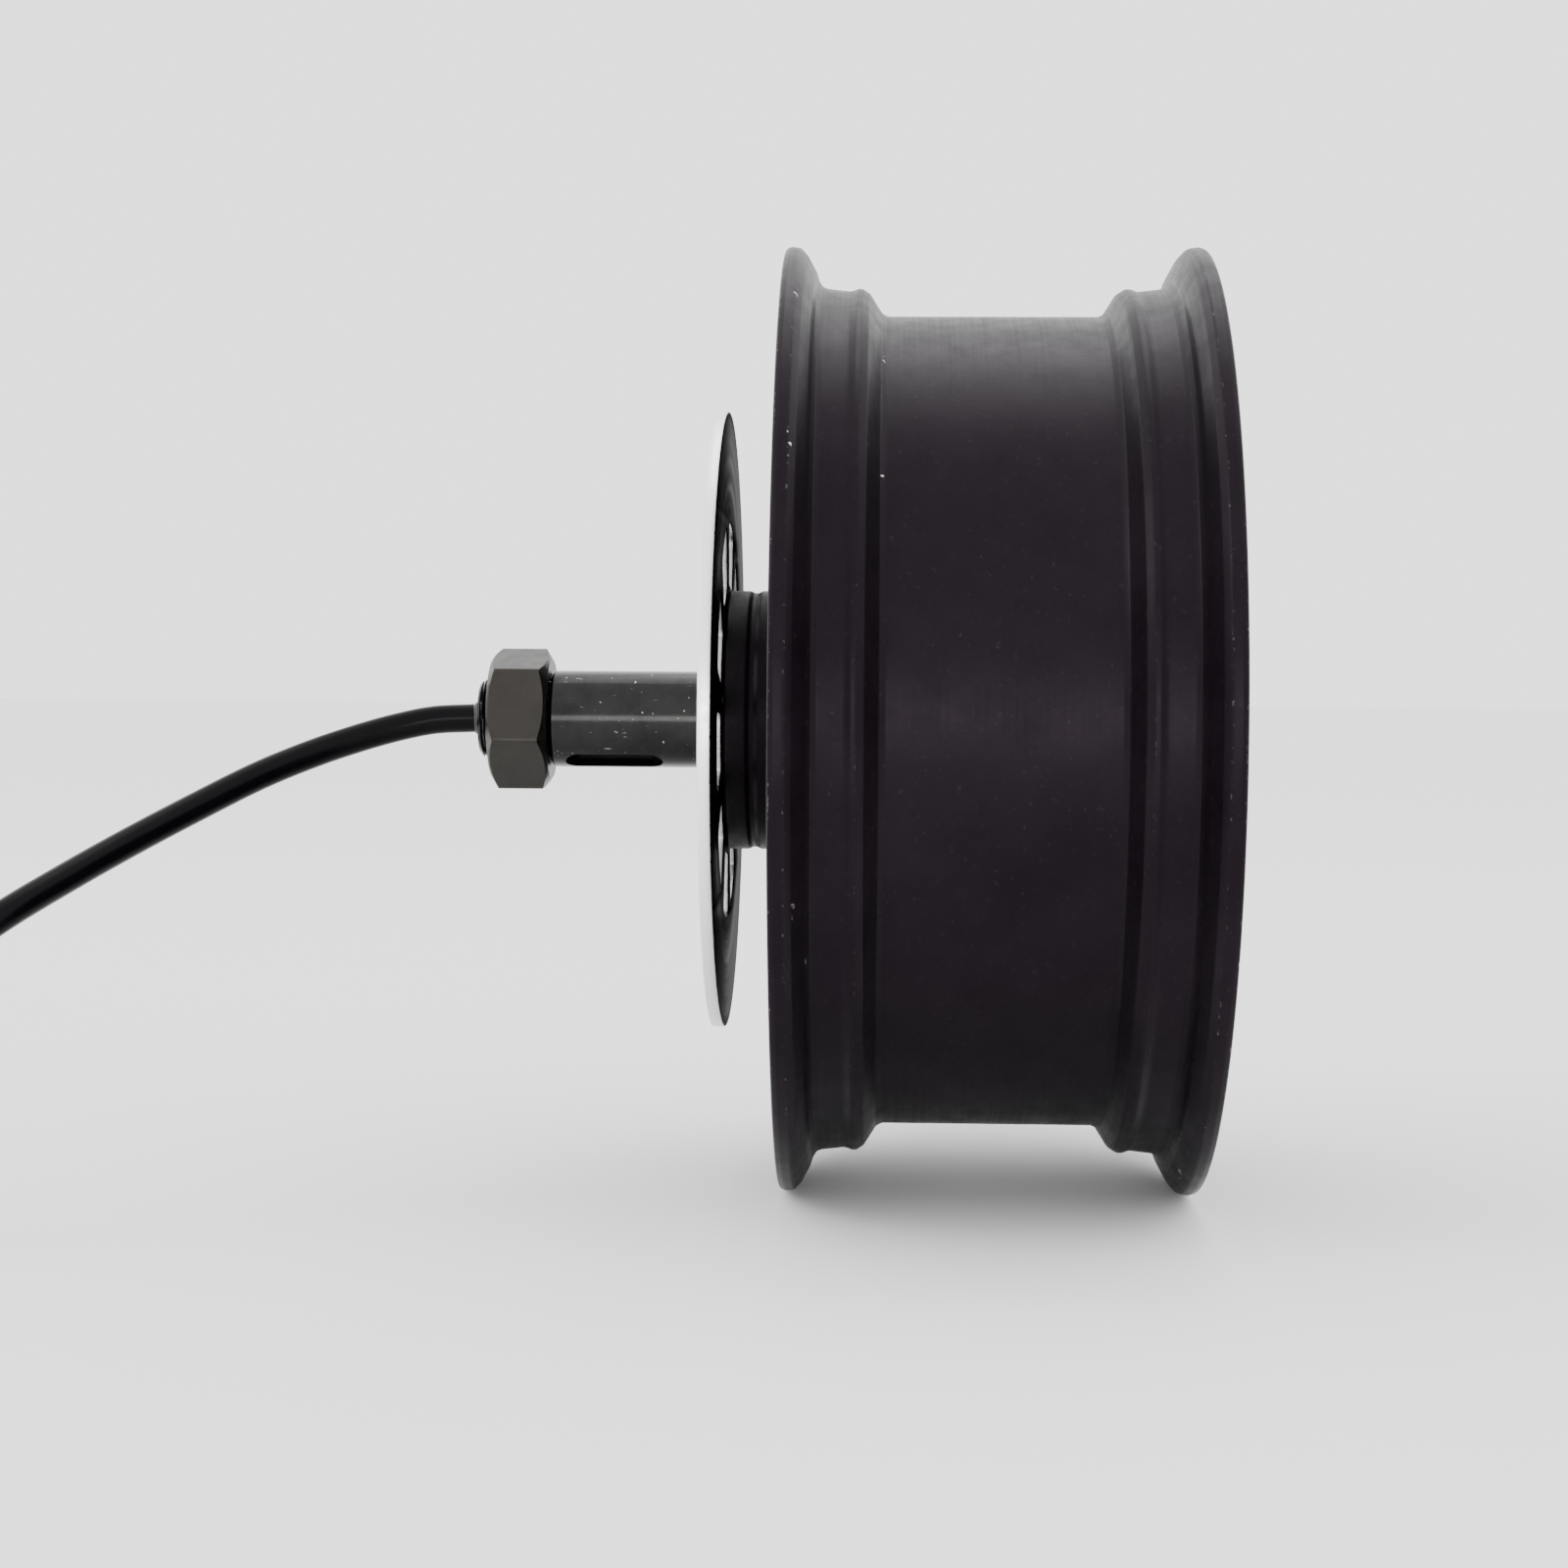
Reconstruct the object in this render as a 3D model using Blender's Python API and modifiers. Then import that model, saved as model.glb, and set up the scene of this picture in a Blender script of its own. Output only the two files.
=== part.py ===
"""Hub motor wheel: a 13-inch tyre rim whose well is the drum of a direct-drive motor.

The frame is right-handed, in metres, with +Z up. The wheel turns about the Y axis. The origin is on
that axis, at the shoulder where a mounting arm seats on the axle. The axle points to -Y and the
wheel lies towards +Y. A "station" is a distance along Y from the wheel's middle plane.
"""

import math

import bmesh
import bpy
from mathutils import Matrix, Vector

# Driving dimensions, in metres.
MID_PLANE = 0.108                # from the axle's seat to the wheel's middle plane
FIT = 0.0003                     # gap between pieces that touch
RIM_SIDES = 32                   # facets round the large pieces
HUB_SIDES = 24                   # facets round the small pieces

# Rim, as (radius, station) of its right half. The left half is its mirror image.
LIP_STATION = 0.0773
TYRE_SIDE = [
    (0.1768, 0.0771), (0.1783, 0.0749), (0.1775, 0.0716), (0.1750, 0.0693), (0.1693, 0.0662),
    (0.1655, 0.0649), (0.1630, 0.0625), (0.1620, 0.0530), (0.1629, 0.0505), (0.1629, 0.0490),
    (0.1612, 0.0460), (0.1528, 0.0406),
]
DISH_SIDE = [
    (0.1756, LIP_STATION), (0.1700, 0.0736), (0.1620, 0.0688), (0.1582, 0.0640), (0.1582, 0.0494),
    (0.1498, 0.0440),
]
LAND_STATION = 0.0400            # the covers seat on this step of the rim
LAND_DEPTH = 0.0117
LAND_RADIUS = 0.1380
REGISTER_RADIUS = 0.1498
DRUM_BORE = 0.1468

# Motor.
YOKE_WALL = 0.0055
YOKE_HALF = 0.0280
MAGNET_WALL = 0.0031
MAGNET_HALF = 0.0270
CORE_RADIUS = 0.1365
CORE_ROOT = 0.1040
CORE_BORE = 0.0950
CORE_HALF = 0.0250
TEETH = 18
TOOTH_TIP_ANGLE = math.radians(6.8)
TOOTH_ROOT_ANGLE = math.radians(5.2)
WINDING_INNER = 0.1060
WINDING_OUTER = 0.1300
WINDING_HALF = 0.0380

# Axle.
SHAFT_RADIUS = 0.0185
SHAFT_END = -0.1668              # station where the thread starts
THREAD_RADIUS = 0.0149
THREAD_END = -0.1943
CABLE_BORE = 0.0070
BORE_END = -0.0360
LEAD_SLOT_STATION = -0.0460
SEAT_LEFT = 0.0200               # radius of the left bearing's seat
SEAT_RIGHT = 0.0150
CARRIER_SEAT = 0.0225
SPACER_RADIUS = 0.0240
KEYWAY_WIDTH = 0.0100
KEYWAY_LENGTH = 0.0366
KEYWAY_DEPTH = 0.0050
KEYWAY_STATION = -0.1423
KEYWAY_ANGLE = math.radians(-62)  # below the +X axis
NUT_FLATS = 0.0480
NUT_LEFT = -0.1898
NUT_RIGHT = SHAFT_END - FIT
NUT_TURN = math.radians(-12.5)  # one corner, from +Z towards +X

# Bearings: bore radius, outer radius, width, middle station and ball radius.
BEARINGS = {
    "left": (SEAT_LEFT, 0.0340, 0.0150, -0.0725, 0.00395),
    "right": (SEAT_RIGHT, 0.0310, 0.0160, 0.0580, 0.00476),
}
BALLS = 7

# Brake disc.
DISC_RADIUS = 0.1173
DISC_FACE = -0.0991              # station of the face towards the rim
DISC_THICKNESS = 0.0046
DISC_BORE = 0.0362
DISC_WINDOWS = 10
WINDOW_INNER = 0.0510
WINDOW_OUTER = 0.0760
WINDOW_ANGLE = math.radians(25)
WINDOW_TURN = math.radians(-9.3)
DISC_BOLTS = 6
DISC_BOLT_CIRCLE = 0.0430
BOSS_RADIUS = 0.0494
BOSS_FACE = -0.0988

# Cover screws and ribs.
COVER_BOLTS = 8
COVER_BOLT_CIRCLE = 0.1436
COVER_RADIUS = 0.1495
COVER_FACE = 0.0470
RIBS = 8
RIB_WIDTH = 0.0070
RIB_HEIGHT = 0.0120
RIB_OUTER = 0.1300
RIB_STATION = 0.0600             # middle of a rib's height, half way along it
RIB_TILT = math.atan2(0.0140, 0.0700)
RIB_START_LEFT = 0.0480
RIB_START_RIGHT = 0.0380
BOLT_RADIUS = 0.00285
BOLT_HEAD = 0.0050
BOLT_CLEARANCE = 0.0034
COVER_BOLT_LENGTH = 0.0140
COVER_BOLT_HEAD = 0.0050
DISC_BOLT_LENGTH = 0.0150
DISC_BOLT_HEAD = 0.0033

# O-rings, in a groove of each cover's spigot.
SPIGOT_RADIUS = LAND_RADIUS - FIT
GROOVE_DEPTH = 0.0025
GROOVE_STATIONS = (0.0360, 0.0386)
O_RING_SLACK = 0.0002

# Valve: it stands square on the slope of the rim's well, at the back.
VALVE_FOOT = (0.1575, 0.0437)
VALVE_LEAN = math.atan2(0.0073, 0.0046)
VALVE_RADIUS = 0.0039

# Cable.
CABLE_RADIUS = 0.0055
FLOOR = -0.1783                  # the lowest point of the rim's flanges
CABLE_FLOOR = FLOOR + CABLE_RADIUS + 0.0001
GROMMET_END = -0.1966
CABLE_START = MID_PLANE + GROMMET_END - FIT
ROUTE = [
    (0.0000, CABLE_START, 0.0000), (0.0006, -0.1040, -0.0008), (0.0035, -0.1170, -0.0034),
    (0.0090, -0.1310, -0.0075), (0.0180, -0.1480, -0.0137), (0.0310, -0.1665, -0.0222),
    (0.0480, -0.1860, -0.0335), (0.0680, -0.2052, -0.0455), (0.0900, -0.2225, -0.0575),
    (0.1120, -0.2386, -0.0697), (0.1320, -0.2560, -0.0850), (0.1490, -0.2745, -0.1030),
    (0.1620, -0.2940, -0.1230), (0.1710, -0.3150, -0.1440), (0.1752, -0.3360, -0.1620),
    (0.1757, -0.3580, CABLE_FLOOR),
]
COIL_CENTRE = (0.1080, -0.3880)
COIL_RADIUS = 0.0620             # middle of the outer turn
COIL_TURN_GAP = 0.0114
TAIL_LINE = COIL_CENTRE[1] - COIL_RADIUS
TAIL_START = 0.0695
TAIL_END = 0.0380
BREAKOUT_LENGTH = 0.0340
LEAD_LENGTH = 0.0700
LUG_LENGTH = 0.0200
LEADS = [                        # name, material, radius, place in the breakout and rest line
    ("phase_lead_1", "lead_yellow", 0.0022, -0.0025, -0.0024, -0.0210),
    ("phase_lead_2", "lead_green", 0.0022, -0.0025, 0.0024, -0.0070),
    ("phase_lead_3", "lead_blue", 0.0022, 0.0025, 0.0024, 0.0075),
    ("signal_lead", "cable_jacket", 0.0020, 0.0025, -0.0024, 0.0230),
]

MATERIALS = {
    "coated_alloy": ((0.020, 0.018, 0.021), 0.42, 0.3),
    "cast_cover": ((0.025, 0.024, 0.027), 0.5, 0.3),
    "disc_steel": ((0.50, 0.49, 0.48), 0.32, 1.0),
    "black_oxide": ((0.10, 0.10, 0.10), 0.38, 0.9),
    "nut_steel": ((0.065, 0.068, 0.062), 0.45, 0.8),
    "screw_steel": ((0.06, 0.06, 0.06), 0.4, 0.9),
    "bearing_steel": ((0.62, 0.62, 0.63), 0.2, 1.0),
    "cage_steel": ((0.55, 0.52, 0.46), 0.35, 1.0),
    "lamination": ((0.30, 0.31, 0.33), 0.45, 0.9),
    "magnet": ((0.45, 0.45, 0.46), 0.3, 0.9),
    "copper": ((0.55, 0.22, 0.09), 0.35, 0.9),
    "bare_alloy": ((0.60, 0.61, 0.62), 0.4, 1.0),
    "board": ((0.02, 0.16, 0.07), 0.5, 0.0),
    "rubber": ((0.015, 0.015, 0.016), 0.6, 0.0),
    "cable_jacket": ((0.010, 0.010, 0.013), 0.3, 0.0),
    "lead_yellow": ((0.70, 0.50, 0.03), 0.4, 0.0),
    "lead_green": ((0.03, 0.30, 0.08), 0.4, 0.0),
    "lead_blue": ((0.03, 0.08, 0.45), 0.4, 0.0),
    "tinned_copper": ((0.66, 0.65, 0.62), 0.3, 1.0),
    "white_nylon": ((0.75, 0.74, 0.70), 0.5, 0.0),
}


def clear_scene():
    for thing in list(bpy.data.objects):
        bpy.data.objects.remove(thing, do_unlink=True)


def new_collection(name):
    made = bpy.data.collections.new(name)
    bpy.context.scene.collection.children.link(made)
    return made


def make_materials():
    made = {}
    for name, (colour, roughness, metallic) in MATERIALS.items():
        material = bpy.data.materials.new(name)
        material.use_nodes = True
        shader = material.node_tree.nodes["Principled BSDF"]
        shader.inputs["Base Color"].default_value = (*colour, 1.0)
        shader.inputs["Roughness"].default_value = roughness
        shader.inputs["Metallic"].default_value = metallic
        material.diffuse_color = (*colour, 1.0)
        made[name] = material
    return made


def along_axle(station=0.0):
    """Turns local +Z to +Y and puts the local origin at a station."""
    return Matrix.Translation((0, MID_PLANE + station, 0)) @ Matrix.Rotation(-math.pi / 2, 4, "X")


def against_axle(station=0.0):
    """Turns local +Z to -Y, for a piece that faces the arm."""
    return Matrix.Translation((0, MID_PLANE + station, 0)) @ Matrix.Rotation(math.pi / 2, 4, "X")


def add_object(name, data, material, place):
    """Adds a finished piece of the wheel."""
    made = bpy.data.objects.new(name, data)
    data.materials.append(materials[material])
    made.matrix_world = place
    pieces.objects.link(made)
    return made


def add_cutter(name, data, place):
    made = bpy.data.objects.new(name, data)
    made.matrix_world = place
    made.hide_render = True
    made.display_type = "WIRE"
    cutters.objects.link(made)
    return made


def turn_modifier(target, sides):
    screw = target.modifiers.new("turn", "SCREW")
    screw.axis = "Z"
    screw.steps = sides
    screw.render_steps = sides
    screw.use_merge_vertices = True
    screw.merge_threshold = 0.00002
    screw.use_smooth_shade = False


def outline_mesh(name, outline, closed):
    """A profile of (radius, height) points in the XZ plane. It runs down its outer side."""
    mesh = bpy.data.meshes.new(name)
    count = len(outline)
    edges = [(i, i + 1) for i in range(count - 1)]
    if closed:
        edges.append((count - 1, 0))
    mesh.from_pydata([(r, 0.0, z) for r, z in outline], edges, [])
    return mesh


def turned(name, outline, material, place=None, sides=HUB_SIDES):
    """A turned piece. Its profile is open where it starts and ends on the axis."""
    closed = outline[0][0] > 0 or outline[-1][0] > 0
    mesh = outline_mesh(name, outline, closed)
    made = add_object(name, mesh, material, place or along_axle())
    turn_modifier(made, sides)
    return made


def ring_outline(inner, outer, low, high):
    return [(inner, high), (outer, high), (outer, low), (inner, low)]


def flat_curve(name, loops, thickness):
    """A flat outline with holes, centred on its own plane."""
    curve = bpy.data.curves.new(name, "CURVE")
    curve.dimensions = "2D"
    curve.fill_mode = "BOTH"
    curve.extrude = thickness / 2
    curve.resolution_u = 1
    curve.render_resolution_u = 0
    for loop in loops:
        spline = curve.splines.new("POLY")
        spline.points.add(len(loop) - 1)
        for point, (x, y) in zip(spline.points, loop):
            point.co = (x, y, 0.0, 1.0)
        spline.use_cyclic_u = True
    return curve


def circle(radius, sides, centre=(0.0, 0.0), start=0.0):
    step = 2 * math.pi / sides
    return [
        (centre[0] + radius * math.cos(start + i * step), centre[1] + radius * math.sin(start + i * step))
        for i in range(sides)
    ]


def polar(radius, angle):
    return radius * math.cos(angle), radius * math.sin(angle)


def mesh_of_curve(name, curve):
    """The closed mesh of a curve, with its caps welded to its sides."""
    guide = bpy.data.objects.new(name + "_guide", curve)
    bpy.context.scene.collection.objects.link(guide)
    seen = guide.evaluated_get(bpy.context.evaluated_depsgraph_get())
    mesh = bpy.data.meshes.new_from_object(seen)
    bpy.data.objects.remove(guide, do_unlink=True)
    shape = bmesh.new()
    shape.from_mesh(mesh)
    bmesh.ops.remove_doubles(shape, verts=shape.verts, dist=0.00001)
    bmesh.ops.recalc_face_normals(shape, faces=shape.faces)
    shape.to_mesh(mesh)
    shape.free()
    mesh.name = name
    return mesh


def boolean(target, cutter, operation="DIFFERENCE"):
    cut = target.modifiers.new(operation.lower(), "BOOLEAN")
    cut.object = cutter
    cut.operation = operation
    cut.solver = "EXACT"


def pins_mesh(name, places, radius, low, high, sides):
    """Parallel round pins as one cutter mesh. Each place is a local (x, y)."""
    shape = bmesh.new()
    for x, y in places:
        bmesh.ops.create_cone(
            shape, cap_ends=True, segments=sides, radius1=radius, radius2=radius, depth=high - low,
            matrix=Matrix.Translation((x, y, (low + high) / 2)),
        )
    mesh = bpy.data.meshes.new(name)
    shape.to_mesh(mesh)
    shape.free()
    return mesh


def box_mesh(name, size, places):
    """Boxes of one size as one mesh. Each place is a matrix."""
    shape = bmesh.new()
    for place in places:
        bmesh.ops.create_cube(shape, size=1.0, matrix=place @ Matrix.Diagonal((*size, 1.0)))
    mesh = bpy.data.meshes.new(name)
    shape.to_mesh(mesh)
    shape.free()
    return mesh


def spaced_angles(count, start):
    return [start + 2 * math.pi * i / count for i in range(count)]


def smooth_line(points, per_span):
    """Points along a Catmull-Rom curve through the given points."""
    knots = [Vector(p) for p in points]
    knots = [2 * knots[0] - knots[1], *knots, 2 * knots[-1] - knots[-2]]
    line = []
    for a, b, c, d in zip(knots, knots[1:], knots[2:], knots[3:]):
        for i in range(per_span):
            t = i / per_span
            line.append(
                0.5 * (2 * b + (c - a) * t + (2 * a - 5 * b + 4 * c - d) * t**2
                       + (3 * b - a - 3 * c + d) * t**3)
            )
    line.append(knots[-2])
    return line


def cord(name, line, radius, material, resolution=2):
    """A round tube along a line of points."""
    curve = bpy.data.curves.new(name, "CURVE")
    curve.dimensions = "3D"
    curve.bevel_depth = radius
    curve.bevel_resolution = resolution
    curve.use_fill_caps = True
    curve.resolution_u = 1
    curve.render_resolution_u = 0
    spline = curve.splines.new("POLY")
    spline.points.add(len(line) - 1)
    for point, place in zip(spline.points, line):
        point.co = (*place, 1.0)
    return add_object(name, curve, material, Matrix.Identity(4))


# Rim and turning half of the motor.

def mirrored(half):
    """The same outline points on the left of the middle plane, in the order that continues the right."""
    return [(r, -w) for r, w in reversed(half)]


def valve_place():
    """Local +Z points out along the valve, at the back of the wheel."""
    foot_radius, foot_station = VALVE_FOOT
    origin = Vector((-foot_radius, MID_PLANE + foot_station, 0.0))
    along = Vector((math.cos(VALVE_LEAN), math.sin(VALVE_LEAN), 0.0))
    return Matrix.Translation(origin) @ along.to_track_quat("Z", "Y").to_matrix().to_4x4()


def make_rim():
    step = [
        (REGISTER_RADIUS, LAND_STATION), (LAND_RADIUS, LAND_STATION),
        (LAND_RADIUS, LAND_STATION - LAND_DEPTH), (DRUM_BORE, LAND_STATION - LAND_DEPTH),
    ]
    dish = DISH_SIDE + step
    outline = TYRE_SIDE + mirrored(TYRE_SIDE) + [(r, -w) for r, w in dish] + list(reversed(dish))
    rim = turned("rim_drum", outline, "coated_alloy", sides=RIM_SIDES)
    places = [polar(COVER_BOLT_CIRCLE, a) for a in cover_bolt_angles()]
    bottom = LAND_STATION - 0.0095
    for side, turn in (("left", against_axle()), ("right", along_axle())):
        mesh = pins_mesh(f"rim_threads_{side}", places, BOLT_CLEARANCE, bottom, 0.060, 8)
        boolean(rim, add_cutter(f"rim_threads_{side}", mesh, turn))
    hole = pins_mesh("valve_hole", [(0, 0)], VALVE_RADIUS + 0.0005, -0.004, 0.009, 12)
    boolean(rim, add_cutter("valve_hole", hole, valve_place()))


def make_rotor():
    outer = DRUM_BORE - FIT
    inner = outer - YOKE_WALL
    yoke = ring_outline(inner, outer, -YOKE_HALF, YOKE_HALF)
    turned("rotor_yoke", yoke, "lamination", sides=RIM_SIDES)
    outer = inner - FIT
    magnets = ring_outline(outer - MAGNET_WALL, outer, -MAGNET_HALF, MAGNET_HALF)
    turned("magnet_ring", magnets, "magnet", sides=RIM_SIDES)


def make_valve():
    stem = [
        (0.0, 0.0250), (0.0026, 0.0250), (0.0026, 0.0170), (VALVE_RADIUS, 0.0160),
        (VALVE_RADIUS, -0.0011), (0.0063, -0.0012), (0.0056, -0.0034), (0.0, -0.0036),
    ]
    turned("valve_stem", stem, "rubber", valve_place(), 12)
    cap = [
        (0.0, 0.0295), (0.0034, 0.0290), (0.0040, 0.0280), (0.0040, 0.0172),
        (0.0030, 0.0172), (0.0030, 0.0254), (0.0, 0.0254),
    ]
    turned("valve_cap", cap, "rubber", valve_place(), 12)


# Covers.

def cover_bolt_angles():
    return spaced_angles(COVER_BOLTS, math.radians(22.5))


def cover_rim_outline():
    """The part of both covers that seats in the rim, from its outer face to its inner edge."""
    seat = LAND_STATION + FIT
    groove = SPIGOT_RADIUS - GROOVE_DEPTH
    low, high = GROOVE_STATIONS
    return [
        (COVER_RADIUS, COVER_FACE), (COVER_RADIUS, seat), (SPIGOT_RADIUS, seat), (SPIGOT_RADIUS, high),
        (groove, high), (groove, low), (SPIGOT_RADIUS, low), (SPIGOT_RADIUS, 0.0345), (0.1330, 0.0345),
        (0.1300, 0.0408),
    ]


def left_cover_outline():
    """Stations are measured from the middle plane towards the axle's free end."""
    pocket = BEARINGS["left"][1] + FIT
    outside = [
        (0.0313, 0.1030), (0.0356, 0.1030), (0.0356, -BOSS_FACE), (BOSS_RADIUS, -BOSS_FACE),
        (BOSS_RADIUS, 0.0720), (0.0570, 0.0667), (0.1370, COVER_FACE),
    ]
    inside = [
        (0.0640, 0.0570), (0.0430, 0.0620), (pocket, 0.0640), (pocket, 0.0803), (0.0290, 0.0803),
        (0.0290, 0.0937), (0.0313, 0.0937),
    ]
    return outside + cover_rim_outline() + inside


def right_cover_outline():
    bearing_radius = BEARINGS["right"][1] + FIT
    outside = [
        (0.0, 0.0745), (0.0390, 0.0745), (0.0400, 0.0690), (0.0480, 0.0661), (0.1370, COVER_FACE),
    ]
    inside = [
        (0.0440, 0.0560), (0.0385, 0.0490), (bearing_radius, 0.0490),
        (bearing_radius, 0.0663), (0.0200, 0.0663), (0.0200, 0.0695), (0.0, 0.0695),
    ]
    return outside + cover_rim_outline() + inside


def rib_places(inner):
    """Radial ribs half way between the cover's screws. They slope down outwards."""
    reach = Matrix.Translation(((inner + RIB_OUTER) / 2, 0.0, RIB_STATION))
    reach = reach @ Matrix.Rotation(RIB_TILT, 4, "Y")
    return [Matrix.Rotation(a, 4, "Z") @ reach for a in spaced_angles(RIBS, 0.0)]


def make_cover(side, outline, turn, rib_inner):
    cover = turned(f"{side}_cover", outline, "cast_cover", turn, RIM_SIDES)
    rib_size = (RIB_OUTER - rib_inner, RIB_WIDTH, RIB_HEIGHT)
    ribs = box_mesh(f"{side}_ribs", rib_size, rib_places(rib_inner))
    boolean(cover, add_cutter(f"{side}_ribs", ribs, turn), "UNION")
    bolts = [polar(COVER_BOLT_CIRCLE, a) for a in cover_bolt_angles()]
    holes = pins_mesh(f"{side}_cover_holes", bolts, BOLT_CLEARANCE, 0.0300, 0.0600, 8)
    boolean(cover, add_cutter(f"{side}_cover_holes", holes, turn))
    if side == "left":
        places = [polar(DISC_BOLT_CIRCLE, a) for a in disc_bolt_angles()]
        threads = pins_mesh("disc_threads", places, BOLT_CLEARANCE, 0.0850, 0.1100, 8)
        boolean(cover, add_cutter("disc_threads", threads, turn))
    low, high = GROOVE_STATIONS
    bore = SPIGOT_RADIUS - GROOVE_DEPTH + FIT
    ring = ring_outline(bore, SPIGOT_RADIUS, low + O_RING_SLACK, high - O_RING_SLACK)
    turned(f"{side}_o_ring", ring, "rubber", turn, RIM_SIDES)
    for number, place in enumerate(bolts, 1):
        name = f"{side}_cover_bolt_{number}"
        screw(name, place, turn, COVER_FACE + 0.0004, COVER_BOLT_LENGTH, COVER_BOLT_HEAD)


def screw(name, place, turn, under_head, length, head):
    """A cap screw whose head bears at a station, with its axis at a local (x, y)."""
    outline = [
        (0.0, head), (BOLT_HEAD, head), (BOLT_HEAD, 0.0), (BOLT_RADIUS, 0.0), (BOLT_RADIUS, -length),
        (0.0, -length),
    ]
    turned(name, outline, "screw_steel", turn @ Matrix.Translation((*place, under_head)), 8)


# Brake disc.

def disc_bolt_angles():
    return spaced_angles(DISC_BOLTS, math.radians(10))


def window_loop(middle):
    """A window with straight sides and round corners, between two circles."""
    half = WINDOW_ANGLE / 2
    loop = []
    corners = (
        (-0.6, WINDOW_OUTER), (0.6, WINDOW_OUTER), (1.0, WINDOW_OUTER - 0.005),
        (1.0, WINDOW_INNER + 0.005), (0.5, WINDOW_INNER), (-0.5, WINDOW_INNER),
        (-1.0, WINDOW_INNER + 0.005), (-1.0, WINDOW_OUTER - 0.005),
    )
    for share, radius in corners:
        loop.append(polar(radius, middle + share * half))
    return loop


def make_disc():
    loops = [circle(DISC_RADIUS, RIM_SIDES), circle(DISC_BORE, HUB_SIDES)]
    loops += [window_loop(a) for a in spaced_angles(DISC_WINDOWS, -WINDOW_TURN)]
    for angle in disc_bolt_angles():
        loops.append(circle(BOLT_CLEARANCE, 8, polar(DISC_BOLT_CIRCLE, -angle)))
    mesh = mesh_of_curve("brake_disc", flat_curve("brake_disc", loops, DISC_THICKNESS))
    add_object("brake_disc", mesh, "disc_steel", along_axle(DISC_FACE - DISC_THICKNESS / 2))
    under_head = -DISC_FACE + DISC_THICKNESS + FIT
    for number, angle in enumerate(disc_bolt_angles(), 1):
        place = polar(DISC_BOLT_CIRCLE, angle)
        screw(f"disc_bolt_{number}", place, against_axle(), under_head, DISC_BOLT_LENGTH, DISC_BOLT_HEAD)


# Axle and fixed half of the motor.

def make_axle():
    outline = [
        (0.0, 0.0688), (SEAT_RIGHT, 0.0688), (SEAT_RIGHT, 0.0498), (0.0180, 0.0498), (0.0180, 0.0340),
        (CARRIER_SEAT, 0.0340), (CARRIER_SEAT, -0.0305), (0.0250, -0.0305), (0.0250, -0.0380),
        (0.0230, -0.0380), (0.0230, -0.0647), (SEAT_LEFT, -0.0647), (SEAT_LEFT, -0.0801),
        (SHAFT_RADIUS, -0.0801), (SHAFT_RADIUS, SHAFT_END), (THREAD_RADIUS, SHAFT_END),
        (THREAD_RADIUS, THREAD_END + 0.0013), (THREAD_RADIUS - 0.0013, THREAD_END),
        (CABLE_BORE, THREAD_END), (CABLE_BORE, BORE_END), (0.0, BORE_END),
    ]
    axle = turned("axle_shaft", outline, "black_oxide", sides=HUB_SIDES)
    loop = []
    for end in (1, -1):
        centre = end * (KEYWAY_LENGTH - KEYWAY_WIDTH) / 2
        for i in range(7):
            angle = math.pi * (i / 6 - 0.5) + (0 if end > 0 else math.pi)
            x, y = polar(KEYWAY_WIDTH / 2, angle)
            loop.append((centre + x, y))
    deep = mesh_of_curve("keyway", flat_curve("keyway", [loop], 2 * KEYWAY_DEPTH))
    outward = Vector((math.cos(KEYWAY_ANGLE), 0.0, math.sin(KEYWAY_ANGLE)))
    across = outward.cross(Vector((0, 1, 0)))
    turn = Matrix((Vector((0, 1, 0)), across, outward)).transposed().to_4x4()
    place = Matrix.Translation(outward * SHAFT_RADIUS + Vector((0, MID_PLANE + KEYWAY_STATION, 0)))
    boolean(axle, add_cutter("keyway", deep, place @ turn))
    slot = box_mesh("lead_slot", (0.008, 0.016, 0.030), [Matrix.Translation((0, 0, 0.0165))])
    place = Matrix.Translation((0, MID_PLANE + LEAD_SLOT_STATION, 0))
    boolean(axle, add_cutter("lead_slot", slot, place))


def make_spacer_and_seal():
    spacer = [
        (SHAFT_RADIUS + FIT, -0.0804), (SPACER_RADIUS, -0.0804), (SPACER_RADIUS, -MID_PLANE + 0.0008),
        (SPACER_RADIUS - 0.0008, -MID_PLANE), (SHAFT_RADIUS + FIT, -MID_PLANE),
    ]
    turned("axle_spacer", spacer, "bearing_steel")
    seal = [
        (0.0300, -0.0940), (0.0310, -0.0950), (0.0310, -0.1020), (0.0244, -0.1020),
        (0.0260, -0.0980), (0.0244, -0.0940),
    ]
    turned("oil_seal", seal, "rubber")


def make_nut():
    corner = NUT_FLATS / 2 / math.cos(math.pi / 6)
    hexagon = [(corner * math.sin(a), -corner * math.cos(a)) for a in spaced_angles(6, NUT_TURN)]
    loops = [hexagon, circle(THREAD_RADIUS + 0.0004, HUB_SIDES)]
    mesh = mesh_of_curve("axle_nut", flat_curve("axle_nut", loops, NUT_RIGHT - NUT_LEFT))
    middle = (NUT_RIGHT + NUT_LEFT) / 2
    nut = add_object("axle_nut", mesh, "nut_steel", along_axle(middle))
    half = (NUT_RIGHT - NUT_LEFT) / 2
    face = 0.0228
    drop = (corner + 0.001 - face) * math.tan(math.radians(30))
    lens = [
        (0.0, half), (face, half), (corner + 0.001, half - drop), (corner + 0.001, drop - half),
        (face, -half), (0.0, -half),
    ]
    cutter = add_cutter("nut_chamfer", outline_mesh("nut_chamfer", lens, False), along_axle(middle))
    turn_modifier(cutter, HUB_SIDES)
    boolean(nut, cutter, "INTERSECT")


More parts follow.
